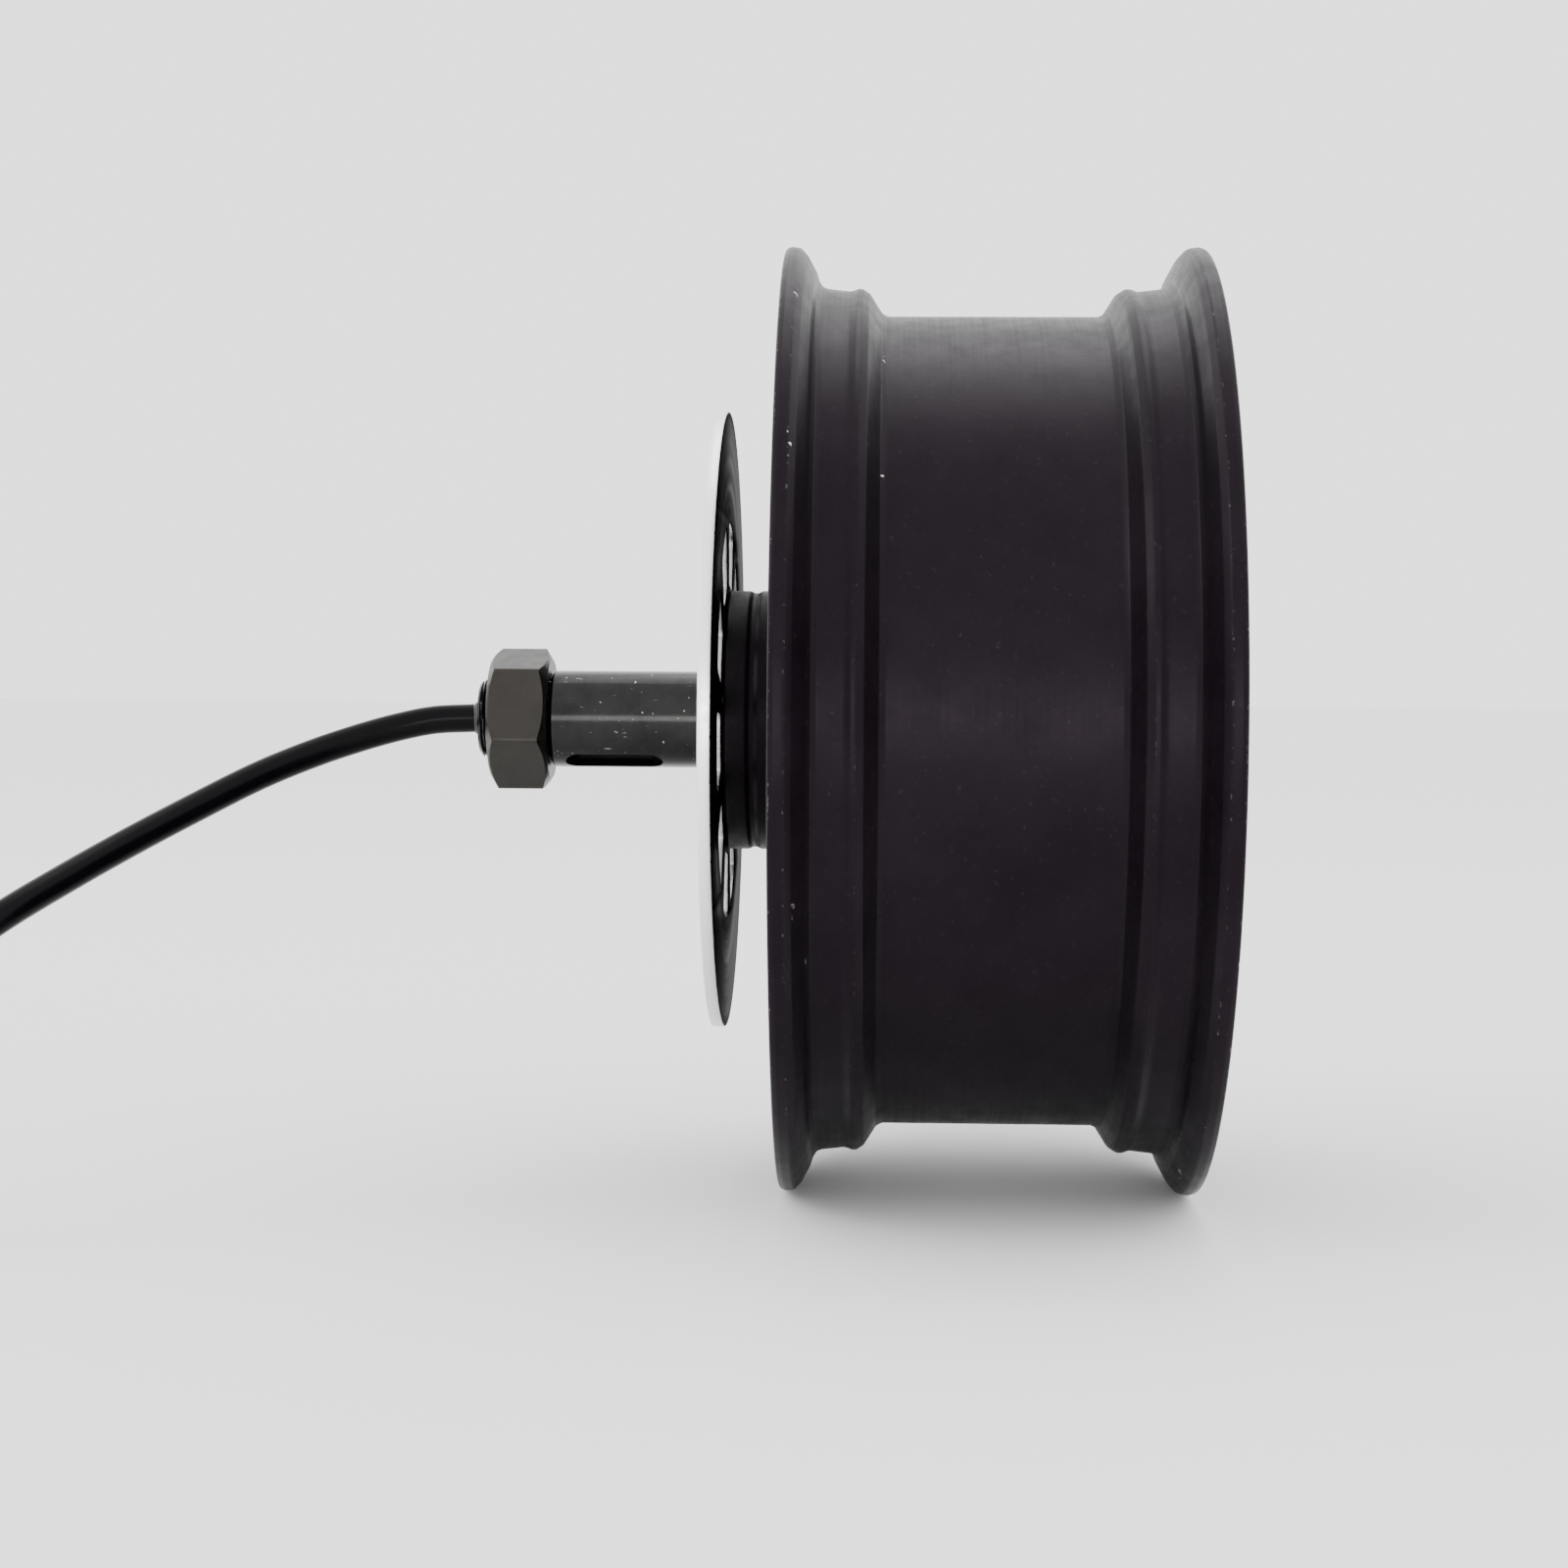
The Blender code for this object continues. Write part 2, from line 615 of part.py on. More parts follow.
def core_outline(grow):
    """The toothed outline of the stator's core, made larger all over by grow."""
    loop = []
    root = CORE_ROOT + grow
    tip = CORE_RADIUS + 4 * grow
    for middle in spaced_angles(TEETH, 0.0):
        at_root = TOOTH_ROOT_ANGLE + grow / root
        at_tip = TOOTH_TIP_ANGLE + grow / tip
        loop += [polar(root, middle - at_root), polar(tip, middle - at_tip)]
        loop += [polar(tip, middle + at_tip), polar(root, middle + at_root)]
    return loop


def make_stator():
    loops = [core_outline(0.0), circle(CORE_BORE, 36)]
    core = mesh_of_curve("stator_core", flat_curve("stator_core", loops, 2 * CORE_HALF))
    add_object("stator_core", core, "lamination", along_axle())
    ring = ring_outline(WINDING_INNER, WINDING_OUTER, -WINDING_HALF, WINDING_HALF)
    winding = turned("stator_winding", ring, "copper", sides=36)
    room = flat_curve("core_room", [core_outline(0.0004)], 2 * (CORE_HALF + 0.0005))
    boolean(winding, add_cutter("core_room", mesh_of_curve("core_room", room), along_axle()))
    carrier = [
        (CARRIER_SEAT + FIT, 0.0300), (0.0330, 0.0300), (0.0330, 0.0050), (0.0850, 0.0050),
        (0.0850, 0.0240), (0.0944, 0.0240), (0.0944, -0.0240), (0.0850, -0.0240), (0.0850, -0.0050),
        (0.0330, -0.0050), (0.0330, -0.0300), (CARRIER_SEAT + FIT, -0.0300),
    ]
    spider = turned("stator_carrier", carrier, "bare_alloy", sides=HUB_SIDES)
    places = [polar(0.059, a) for a in spaced_angles(5, math.radians(90))]
    holes = pins_mesh("carrier_holes", places, 0.0160, -0.0100, 0.0100, 8)
    boolean(spider, add_cutter("carrier_holes", holes, along_axle()))


def make_board():
    """The sensor board covers a third of the ring beside the core."""
    count = 9
    span = [math.radians(-60 + 120 * i / (count - 1)) for i in range(count)]
    loop = [polar(0.1030, a - math.pi / 2) for a in span]
    loop += [polar(0.0870, a - math.pi / 2) for a in reversed(span)]
    mesh = mesh_of_curve("hall_sensor_board", flat_curve("hall_sensor_board", [loop], 0.0016))
    add_object("hall_sensor_board", mesh, "board", along_axle(-CORE_HALF - 0.0018))


def make_inner_leads():
    """From the cable's end in the axle's bore, out of the slot and up to the winding."""
    y = MID_PLANE
    points = [
        (0, y - 0.1850, 0), (0, y - 0.1400, 0), (0, y - 0.0900, 0), (0, y - 0.0620, 0),
        (0, y - 0.0530, 0.0020), (0, y - 0.0475, 0.0090), (0, y - 0.0460, 0.0200),
        (0, y - 0.0455, 0.0500), (0, y - 0.0435, 0.0850), (0, y - 0.0413, 0.1070),
    ]
    cord("inner_leads", smooth_line(points, 2), 0.0025, "cable_jacket", 2)


# Bearings.

def make_bearing(side):
    bore, outer, width, station, ball = BEARINGS[side]
    bore += FIT
    pitch = (bore + outer) / 2
    half = width / 2
    land = 0.72 * ball
    flank = 0.694 * ball + 0.0006
    floor = ball + 0.0004
    low, high = station - half, station + half
    inner = [
        (bore, high), (pitch - land, high), (pitch - land, station + flank),
        (pitch - floor, station + flank / 2), (pitch - floor, station - flank / 2),
        (pitch - land, station - flank), (pitch - land, low), (bore, low),
    ]
    turned(f"bearing_inner_{side}", inner, "bearing_steel")
    floor += 0.0003
    race = [
        (pitch + land, high), (outer, high), (outer, low), (pitch + land, low),
        (pitch + land, station - flank), (pitch + floor, station - flank / 2),
        (pitch + floor, station + flank / 2), (pitch + land, station + flank),
    ]
    turned(f"bearing_outer_{side}", race, "bearing_steel")
    thin = 0.0010
    band = ring_outline(pitch - thin, pitch + thin, -0.5 * ball, 0.5 * ball)
    cage = turned(f"ball_cage_{side}", band, "cage_steel", along_axle(station), 16)
    shape = bmesh.new()
    for angle in spaced_angles(BALLS, 0.1):
        place = Matrix.Translation((*polar(pitch, angle), 0.0))
        bmesh.ops.create_uvsphere(shape, u_segments=6, v_segments=4, radius=ball, matrix=place)
    balls = bpy.data.meshes.new(f"balls_{side}")
    shape.to_mesh(balls)
    shape.free()
    boolean(cage, add_cutter(f"balls_{side}", balls, along_axle(station)), "UNION")


# Cable.

def make_cable():
    grommet = [
        (0.0, -0.1860), (CABLE_BORE - FIT, -0.1860), (CABLE_BORE - FIT, THREAD_END), (0.0064, -0.1948),
        (0.0060, GROMMET_END), (0.0, GROMMET_END),
    ]
    turned("cable_grommet", grommet, "rubber", sides=16)
    cord("motor_cable", smooth_line(ROUTE, 2), CABLE_RADIUS, "cable_jacket")
    outer = COIL_RADIUS + CABLE_RADIUS
    inner = COIL_RADIUS - COIL_TURN_GAP - CABLE_RADIUS
    top = CABLE_FLOOR + COIL_TURN_GAP + CABLE_RADIUS
    edge = 0.0030
    coil = [
        (inner, top - edge), (inner + edge, top), (outer - edge, top), (outer, top - edge),
        (outer, FLOOR + 0.0001), (inner, FLOOR + 0.0001),
    ]
    turned("cable_coil", coil, "cable_jacket", Matrix.Translation((*COIL_CENTRE, 0.0)), 32)
    tail = [
        (TAIL_START, TAIL_LINE, CABLE_FLOOR + 0.0036), (0.0590, TAIL_LINE, CABLE_FLOOR + 0.0012),
        (0.0480, TAIL_LINE, CABLE_FLOOR + 0.0001), (TAIL_END, TAIL_LINE, CABLE_FLOOR),
    ]
    cord("cable_tail", smooth_line(tail, 1), CABLE_RADIUS, "cable_jacket")


def make_cable_end():
    """The jacket ends in a moulded breakout, which three phase leads and a signal lead leave."""
    radius = 0.0068
    height = FLOOR + radius + 0.0002
    outline = [
        (0.0, 0.0), (radius - 0.0008, 0.0), (radius, -0.0030), (radius, -0.0200),
        (0.0058, -BREAKOUT_LENGTH), (0.0, -BREAKOUT_LENGTH),
    ]
    turn = Matrix.Translation((TAIL_END - FIT, TAIL_LINE, height)) @ Matrix.Rotation(math.pi / 2, 4, "Y")
    turned("cable_breakout", outline, "rubber", turn, 12)
    start = TAIL_END - 2 * FIT - BREAKOUT_LENGTH
    for name, colour, radius, near, above, aside in LEADS:
        rest = FLOOR + radius + 0.0001
        outer = above < 0
        fan = (1.5, 0.45, 0.85, 0.0002) if outer else (1.1, 0.60, 0.95, 0.0029)
        points = [
            (start, TAIL_LINE + near, height + above),
            (start - 0.0080, TAIL_LINE + near * fan[0], height + above - 0.0005),
            (start - 0.0240, TAIL_LINE + aside * fan[1], rest + fan[3]),
            (start - 0.0420, TAIL_LINE + aside * fan[2], rest),
            (start - LEAD_LENGTH, TAIL_LINE + aside, rest),
        ]
        cord(name, smooth_line(points, 2), radius, colour)
        end = start - LEAD_LENGTH - FIT
        if name == "signal_lead":
            middle = Vector((end - 0.0090, TAIL_LINE + aside, FLOOR + 0.0041))
            plug = box_mesh("signal_plug", (0.0180, 0.0120, 0.0080), [Matrix.Translation(middle)])
            add_object("signal_plug", plug, "white_nylon", Matrix.Identity(4))
        else:
            make_lug(name.replace("lead", "lug"), end, TAIL_LINE + aside)


def make_lug(name, end, aside):
    """A ring lug: a crimped barrel's flat with an eye for an M5 stud."""
    eye = 0.0052
    reach = end - LUG_LENGTH + eye
    turn = math.asin(0.0022 / eye)
    loop = [(end, aside + 0.0022), (end, aside - 0.0022)]
    for i in range(9):
        angle = -math.pi / 2 - turn * 0.5 - i * (math.pi - turn) / 8
        loop.append((reach + eye * math.cos(angle), aside + eye * math.sin(angle)))
    curve = flat_curve(name, [loop, circle(0.0027, 10, (reach, aside))], 0.0016)
    add_object(name, mesh_of_curve(name, curve), "tinned_copper", Matrix.Translation((0, 0, FLOOR + 0.0023)))


clear_scene()
pieces = new_collection("hub_motor_wheel")
cutters = new_collection("cutters")
materials = make_materials()
make_rim()
make_rotor()
make_valve()
make_cover("left", left_cover_outline(), against_axle(), RIB_START_LEFT)
make_cover("right", right_cover_outline(), along_axle(), RIB_START_RIGHT)
make_disc()
make_axle()
make_spacer_and_seal()
make_nut()
make_stator()
make_board()
make_inner_leads()
make_bearing("left")
make_bearing("right")
make_cable()
make_cable_end()
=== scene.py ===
"""Hub motor wheel, seen from the +X side, nearly square to its axle."""

import math

import bmesh
import bpy
from mathutils import Matrix, Vector


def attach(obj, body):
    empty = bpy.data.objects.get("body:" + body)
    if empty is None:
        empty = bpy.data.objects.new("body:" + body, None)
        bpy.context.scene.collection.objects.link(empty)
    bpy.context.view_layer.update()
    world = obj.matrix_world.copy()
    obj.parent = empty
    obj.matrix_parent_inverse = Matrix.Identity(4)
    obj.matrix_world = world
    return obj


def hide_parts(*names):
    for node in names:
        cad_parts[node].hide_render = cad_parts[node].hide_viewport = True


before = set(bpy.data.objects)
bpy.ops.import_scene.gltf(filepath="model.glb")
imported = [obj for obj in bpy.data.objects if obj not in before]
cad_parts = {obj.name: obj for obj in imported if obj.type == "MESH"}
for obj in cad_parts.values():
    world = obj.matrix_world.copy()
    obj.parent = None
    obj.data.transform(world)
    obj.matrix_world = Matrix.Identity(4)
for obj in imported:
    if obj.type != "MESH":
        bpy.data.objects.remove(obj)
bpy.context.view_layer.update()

# Shared dimensions, in metres. A station is a distance along Y from the wheel's middle plane.
MID_PLANE = 0.108
FLOOR = -0.1783
SIDES = 256                      # facets round the large turned pieces
FINE = 96                        # facets round the small ones
CABLE_RADIUS = 0.0055
COVER_SCREW_CIRCLE = 0.1436      # radius on which each cover's eight screws lie
DISC_SCREW_CIRCLE = 0.043       # radius on which the disc's six screws lie
LEAD_HEIGHT = FLOOR + 0.007     # where the leads leave the breakout
LEAD_LENGTH = 0.07             # how far each lead reaches along X
COIL_LIFT = 0.0113               # how far the coil's second turn climbs over the first


def add_object(name, data):
    made = bpy.data.objects.new(name, data)
    bpy.context.scene.collection.objects.link(made)
    return made


def polar(radius, angle):
    return radius * math.cos(angle), radius * math.sin(angle)


# Camera.

def make_camera():
    yaw, pitch, roll = (math.radians(a) for a in (-2.085, -1.807, 0.392))
    ahead = Vector((-math.cos(yaw) * math.cos(pitch), math.sin(yaw) * math.cos(pitch), math.sin(pitch)))
    level = ahead.cross(Vector((0, 0, 1))).normalized()
    upright = level.cross(ahead)
    right = math.cos(roll) * level + math.sin(roll) * upright
    up = right.cross(ahead)
    data = bpy.data.cameras.new("camera")
    data.sensor_width = 36.0
    data.lens = 65.11
    camera = add_object("camera", data)
    turn = Matrix((right, up, -ahead)).transposed().to_4x4()
    camera.matrix_world = Matrix.Translation((1.0869, 0.06974, 0.00985)) @ turn
    bpy.context.scene.camera = camera


# Materials.

class Surface:
    """A principled material, built up node by node in object coordinates, in metres."""

    def __init__(self, name, colour, roughness, metallic=0.0, **fixed):
        self.material = bpy.data.materials.new(name)
        self.material.use_nodes = True
        self.tree = self.material.node_tree
        self.shader = self.tree.nodes["Principled BSDF"]
        self.paint((*colour, 1.0), roughness)
        self.set("Metallic", metallic)
        for key, value in fixed.items():
            self.set(key.replace("_", " "), value)
        self.material.diffuse_color = (*colour, 1.0)
        self.place = self.node("TexCoord").outputs["Object"]
        self.normal = None

    def set(self, socket, value):
        target = self.shader.inputs[socket]
        if isinstance(value, bpy.types.NodeSocket):
            self.tree.links.new(value, target)
        else:
            target.default_value = value

    def node(self, kind, **settings):
        made = self.tree.nodes.new("ShaderNode" + kind)
        for key, value in settings.items():
            setattr(made, key, value)
        return made

    def feed(self, node, values):
        for key, value in values.items():
            if isinstance(value, bpy.types.NodeSocket):
                self.tree.links.new(value, node.inputs[key])
            else:
                node.inputs[key].default_value = value
        return node

    def noise(self, scale, detail=4.0, roughness=0.55, vector=None):
        made = self.node("TexNoise")
        vector = vector or self.place
        self.feed(made, {"Vector": vector, "Scale": scale, "Detail": detail, "Roughness": roughness})
        return made.outputs["Fac"]

    def math(self, operation, a, b=0.0):
        made = self.node("Math", operation=operation)
        self.feed(made, {0: a, 1: b})
        return made.outputs[0]

    def times(self, a, b):
        return self.math("MULTIPLY", a, b)

    def span(self, value, low, high, to_low=0.0, to_high=1.0):
        made = self.node("MapRange")
        self.feed(made, {"Value": value, "From Min": low, "From Max": high})
        self.feed(made, {"To Min": to_low, "To Max": to_high})
        return made.outputs["Result"]

    def mix(self, share, first, second):
        made = self.node("Mix", data_type="RGBA")
        self.feed(made, {0: share})
        for index, value in ((6, first), (7, second)):
            self.feed(made, {index: value if isinstance(value, bpy.types.NodeSocket) else (*value, 1.0)})
        return made.outputs[2]

    def blend(self, share, first, second):
        made = self.node("Mix", data_type="FLOAT")
        self.feed(made, {0: share, 2: first, 3: second})
        return made.outputs[0]

    def bump(self, height, depth, strength=1.0):
        made = self.node("Bump")
        self.feed(made, {"Height": height, "Distance": depth, "Strength": strength})
        if self.normal:
            self.feed(made, {"Normal": self.normal})
        self.normal = made.outputs["Normal"]
        self.set("Normal", self.normal)

    def around(self):
        """(distance from the axle's axis, distance along it, angle in turns) of a point."""
        split = self.node("SeparateXYZ")
        self.feed(split, {0: self.place})
        x, y, z = split.outputs
        radius = self.math("POWER", self.math("ADD", self.times(x, x), self.times(z, z)), 0.5)
        angle = self.times(self.math("ARCTAN2", z, x), 1 / (2 * math.pi))
        return radius, y, angle

    def joined(self, x, y, z):
        made = self.node("CombineXYZ")
        self.feed(made, {0: x, 1: y, 2: z})
        return made.outputs[0]

    def grid(self, x, x_scale, y, y_scale, z=0.0):
        """A place whose first two coordinates are scaled, for noise that is drawn out one way."""
        return self.joined(self.times(x, x_scale), self.times(y, y_scale), z)

    def mottle(self, first, second, *noise):
        """Two tones in soft patches."""
        return self.mix(self.span(self.noise(*noise), 0.3, 0.7), first, second)

    def uneven(self, scale, detail, roughness, high, low_sheen, high_sheen):
        """A roughness that varies in patches."""
        return self.span(self.noise(scale, detail, roughness), 0.3, high, low_sheen, high_sheen)

    def edges(self, low=0.515, high=0.56):
        """1 on outside edges, 0 elsewhere."""
        return self.span(self.node("NewGeometry").outputs["Pointiness"], low, high)

    def paint(self, colour, roughness):
        self.set("Base Color", colour)
        self.set("Roughness", roughness)

    def worn(self, bare, bare_roughness, colour, roughness, mask):
        """Bare metal where mask is 1 and the coat where it is 0."""
        self.paint(self.mix(mask, colour, bare), self.blend(mask, roughness, bare_roughness))
        self.set("Metallic", self.blend(mask, 0.0, 1.0))


def brighter(colour, times):
    return tuple(min(1.0, times * c) for c in colour)


def cover_coat():
    """Baked black coat on cast alloy: fine orange peel, specks of dust and chipped edges."""
    colour, lighter = (0.0026, 0.0022, 0.0027), (0.0048, 0.0042, 0.0048)
    chips = 0.675
    look = Surface("cover_coat", colour, 0.4, Specular_IOR_Level=0.09, Specular_Tint=(1.0, 0.85, 1.0, 1.0))
    patch = look.noise(28.0, 5.0, 0.6)
    fleck = look.noise(900.0, 2.0)
    tone = look.mix(look.span(patch, 0.35, 0.7), colour, lighter)
    tone = look.mix(look.span(fleck, 0.62, 0.75, 0.0, 0.25), tone, (0.04, 0.038, 0.037))
    nick = look.noise(260.0, 6.0, 0.7)
    mask = look.times(look.edges(0.53, 0.58), look.span(nick, chips, chips + 0.03))
    look.worn((0.42, 0.41, 0.4), 0.42, tone, look.uneven(140.0, 5.0, 0.7, 0.75, 0.36, 0.52), mask)
    look.bump(fleck, 0.00012, 0.35)
    look.bump(look.noise(150.0, 3.0), 0.0004, 0.12)
    return look.material


def rim_coat():
    """The coat on the rim, with faint turning lines round the well and the seats."""
    look = Surface("rim_coat", (0.005, 0.004, 0.005), 0.35, Specular_IOR_Level=0.085,
                   Specular_Tint=(1.0, 0.78, 1.0, 1.0))
    radius, along, angle = look.around()
    drawn_out = look.joined(look.times(radius, 700.0), look.times(along, 700.0), look.times(angle, 6.0))
    lines = look.noise(1.0, 3.0, 0.6, drawn_out)
    patch = look.noise(24.0, 5.0, 0.6)
    fleck = look.noise(1100.0, 2.0)
    tone = look.mix(look.span(patch, 0.35, 0.7), (0.0028, 0.0018, 0.003), (0.0058, 0.0042, 0.0058))
    dust = look.span(look.noise(420.0, 6.0, 0.75), 0.6, 0.72, 0.0, 0.16)
    tone = look.mix(dust, tone, (0.075, 0.07, 0.066))
    nick = look.noise(300.0, 6.0, 0.72)
    lip = look.times(look.edges(0.51, 0.54), look.span(nick, 0.585, 0.615))
    patches = look.uneven(90.0, 5.0, 0.7, 0.75, 0.27, 0.41)
    rough = look.math("ADD", patches, look.span(lines, 0.3, 0.7, -0.02, 0.04))
    look.worn((0.5, 0.48, 0.46), 0.38, tone, rough, lip)
    look.bump(fleck, 0.0001, 0.3)
    look.bump(lines, 0.00008, 0.45)
    look.bump(look.noise(60.0, 3.0), 0.0006, 0.1)
    return look.material


def turned_steel(name, dark, light, low, high, across, metallic=1.0, marks=0.0):
    """Steel with fine rings from the lathe. across is 'radius' for a face and 'along' for a shaft."""
    look = Surface(name, dark, 0.3, metallic)
    radius, along, angle = look.around()
    way = radius if across == "radius" else along
    rings = look.noise(1.0, 4.0, 0.7, look.grid(way, 2600.0, angle, 1.5))
    bands = look.noise(1.0, 2.0, 0.5, look.grid(way, 160.0, angle, 2.5, 4.0))
    stain = look.noise(70.0, 6.0, 0.65)
    tone = look.mix(look.span(stain, 0.3, 0.7), dark, light)
    tone = look.mix(look.span(rings, 0.45, 0.8, 0.0, 0.35), tone, tuple(1.4 * c for c in light))
    if marks:
        long_way = look.noise(1.0, 5.0, 0.8, look.grid(along, 90.0, angle, 55.0, radius))
        scuff = look.span(long_way, 0.66, 0.7, 0.0, marks)
        pit = look.span(look.noise(520.0, 3.0, 0.6), 0.7, 0.74, 0.0, marks)
        scuff = look.math("MAXIMUM", scuff, pit)
        tone = look.mix(scuff, tone, (0.62, 0.61, 0.59))
    tone = look.mix(look.times(look.edges(0.53, 0.6), 0.6), tone, brighter(light, 2.2))
    look.paint(tone, look.span(bands, 0.3, 0.7, low, high))
    look.bump(rings, 0.00003, 0.5)
    look.bump(stain, 0.0002, 0.1)
    return look.material


def plain_metal(name, dark, light, low, high, grain=500.0, metallic=1.0):
    """Metal with a fine grain, stains and brighter edges."""
    look = Surface(name, dark, 0.35, metallic)
    stain = look.noise(60.0, 6.0, 0.65)
    speck = look.noise(grain, 4.0, 0.7)
    tone = look.mix(look.span(stain, 0.3, 0.7), dark, light)
    tone = look.mix(look.span(speck, 0.5, 0.8, 0.0, 0.4), tone, brighter(light, 1.5))
    tone = look.mix(look.times(look.edges(0.52, 0.58), 0.55), tone, brighter(light, 2.6))
    look.paint(tone, look.uneven(190.0, 5.0, 0.7, 0.75, low, high))
    look.bump(speck, 0.00005, 0.4)
    return look.material


def soft_black(name, colour, dusty, low, high, grain=1400.0, **fixed):
    """Rubber or a cable jacket: a fine grain, soft sheen patches and a little dust."""
    look = Surface(name, colour, 0.4, 0.0, **fixed)
    dust = look.noise(330.0, 7.0, 0.75)
    tone = look.mix(look.span(dust, 0.55, 0.8, 0.0, 0.6), colour, dusty)
    look.paint(tone, look.uneven(75.0, 5.0, 0.65, 0.7, low, high))
    look.bump(look.noise(grain, 3.0), 0.00005, 0.35)
    look.bump(look.noise(110.0, 2.0), 0.0005, 0.12)
    return look.material


def plastic(name, colour, low, high):
    """Moulded or drawn plastic with slight mottling and scuffs."""
    look = Surface(name, colour, 0.35)
    lighter = tuple(min(1.0, 1.18 * c + 0.01) for c in colour)
    darker = tuple(0.78 * c for c in colour)
    tone = look.mottle(darker, lighter, 120.0, 5.0, 0.6)
    scuff = look.span(look.noise(600.0, 6.0, 0.8), 0.62, 0.72, 0.0, 0.35)
    look.paint(look.mix(scuff, tone, (0.62, 0.6, 0.56)), look.uneven(220.0, 5.0, 0.7, 0.7, low, high))
    look.bump(look.noise(1500.0, 2.0), 0.00003, 0.3)
    return look.material


def disc_faces():
    """Dark phosphate with the sweep of the pads worn to grey in fine rings."""
    look = Surface("disc_faces", (0.06, 0.06, 0.06), 0.4, 0.9, Specular_Tint=(0.12, 0.12, 0.12, 1.0))
    radius, _, angle = look.around()
    rings = look.noise(1.0, 5.0, 0.75, look.grid(radius, 2400.0, angle, 1.2))
    wide = look.noise(1.0, 3.0, 0.6, look.grid(radius, 420.0, angle, 2.0, 7.0))
    swept = look.times(look.span(radius, 0.08, 0.088), look.span(radius, 0.113, 0.1163, 1.0, 0.25))
    dark = look.mottle((0.01, 0.0092, 0.0095), (0.02, 0.0185, 0.0185), 90.0, 6.0, 0.7)
    grey = look.mix(look.span(rings, 0.35, 0.7), (0.013, 0.012, 0.0115), (0.034, 0.031, 0.03))
    look.set("Base Color", look.mix(swept, dark, grey))
    unworn = look.span(wide, 0.3, 0.7, 0.48, 0.62)
    worn = look.span(wide, 0.3, 0.7, 0.34, 0.48)
    look.set("Roughness", look.blend(swept, unworn, worn))
    look.bump(rings, 0.00004, 0.6)
    return look.material


def disc_edge():
    """Bright ground steel, on the disc's rim and its windows' walls."""
    edge = Surface("disc_edge", (0.78, 0.77, 0.75), 0.25, 1.0)
    _, along, angle = edge.around()
    lines = edge.noise(1.0, 4.0, 0.8, edge.grid(along, 5200.0, angle, 3.0))
    tone = edge.mix(edge.span(lines, 0.3, 0.7), (0.88, 0.875, 0.865), (0.98, 0.975, 0.97))
    edge.paint(tone, edge.span(edge.noise(300.0), 0.3, 0.7, 0.25, 0.42))
    edge.bump(lines, 0.00005, 0.5)
    return edge.material


def winding_look():
    """Varnished copper wire laid along the teeth, with painted shade in the grooves between the wires."""
    look = Surface("winding", (0.45, 0.15, 0.05), 0.35, 0.85)
    radius, along, angle = look.around()
    strand = look.node("TexWave", wave_type="BANDS", bands_direction="X")
    look.feed(strand, {"Vector": look.joined(radius, angle, along), "Scale": 420.0})
    look.feed(strand, {"Distortion": 1.5, "Detail": 2.0, "Detail Scale": 3.0})
    wires = strand.outputs["Fac"]
    tone = look.mix(look.noise(160.0, 5.0), (0.42, 0.13, 0.04), (0.62, 0.26, 0.1))
    # painted shade: the grooves between the wires are darkened
    tone = look.mix(look.span(wires, 0.0, 0.35, 1.0, 0.0), tone, (0.1, 0.035, 0.015))
    look.paint(tone, look.span(look.noise(90.0), 0.3, 0.7, 0.25, 0.45))
    look.bump(wires, 0.0003, 0.8)
    return look.material


def laminated(name, dark, light):
    """A stack of thin sheets, seen edge-on, with a varnished face."""
    look = Surface(name, dark, 0.4, 0.85)
    _, along, _ = look.around()
    sheets = look.noise(1.0, 1.0, 0.5, look.joined(look.times(along, 2200.0), 0.0, 0.0))
    stain = look.noise(80.0, 6.0, 0.7)
    look.paint(look.mix(look.times(sheets, stain), dark, light), look.span(stain, 0.3, 0.7, 0.35, 0.55))
    look.bump(sheets, 0.00006, 0.6)
    return look.material


def board_look():
    """Green board with copper tracks under its coat."""
    look = Surface("board_look", (0.02, 0.16, 0.07), 0.4)
    radius, _, angle = look.around()
    tracks = look.node("TexBrick")
    look.feed(tracks, {"Vector": look.grid(angle, 40.0, radius, 260.0), "Scale": 1.0, "Mortar Size": 0.06})
    look.feed(tracks, {"Color1": (0.015, 0.14, 0.06, 1), "Color2": (0.02, 0.18, 0.08, 1)})
    look.feed(tracks, {"Mortar": (0.05, 0.3, 0.12, 1)})
    look.paint(tracks.outputs["Color"], look.span(look.noise(200.0), 0.3, 0.7, 0.3, 0.5))
    look.bump(tracks.outputs["Fac"], 0.00005, 0.5)
    return look.material


# Shapes.

def mesh_from(name, verts, faces, sharp=32.0):
    mesh = bpy.data.meshes.new(name)
    mesh.from_pydata([tuple(v) for v in verts], [], faces)
    shape = bmesh.new()
    shape.from_mesh(mesh)
    bmesh.ops.remove_doubles(shape, verts=shape.verts, dist=0.000004)
    bmesh.ops.recalc_face_normals(shape, faces=shape.faces)
    shape.to_mesh(mesh)
    shape.free()
    return smooth(mesh, sharp)


def smooth(mesh, sharp=32.0):
    mesh.polygons.foreach_set("use_smooth", [True] * len(mesh.polygons))
    mesh.set_sharp_from_angle(angle=math.radians(sharp))
    return mesh


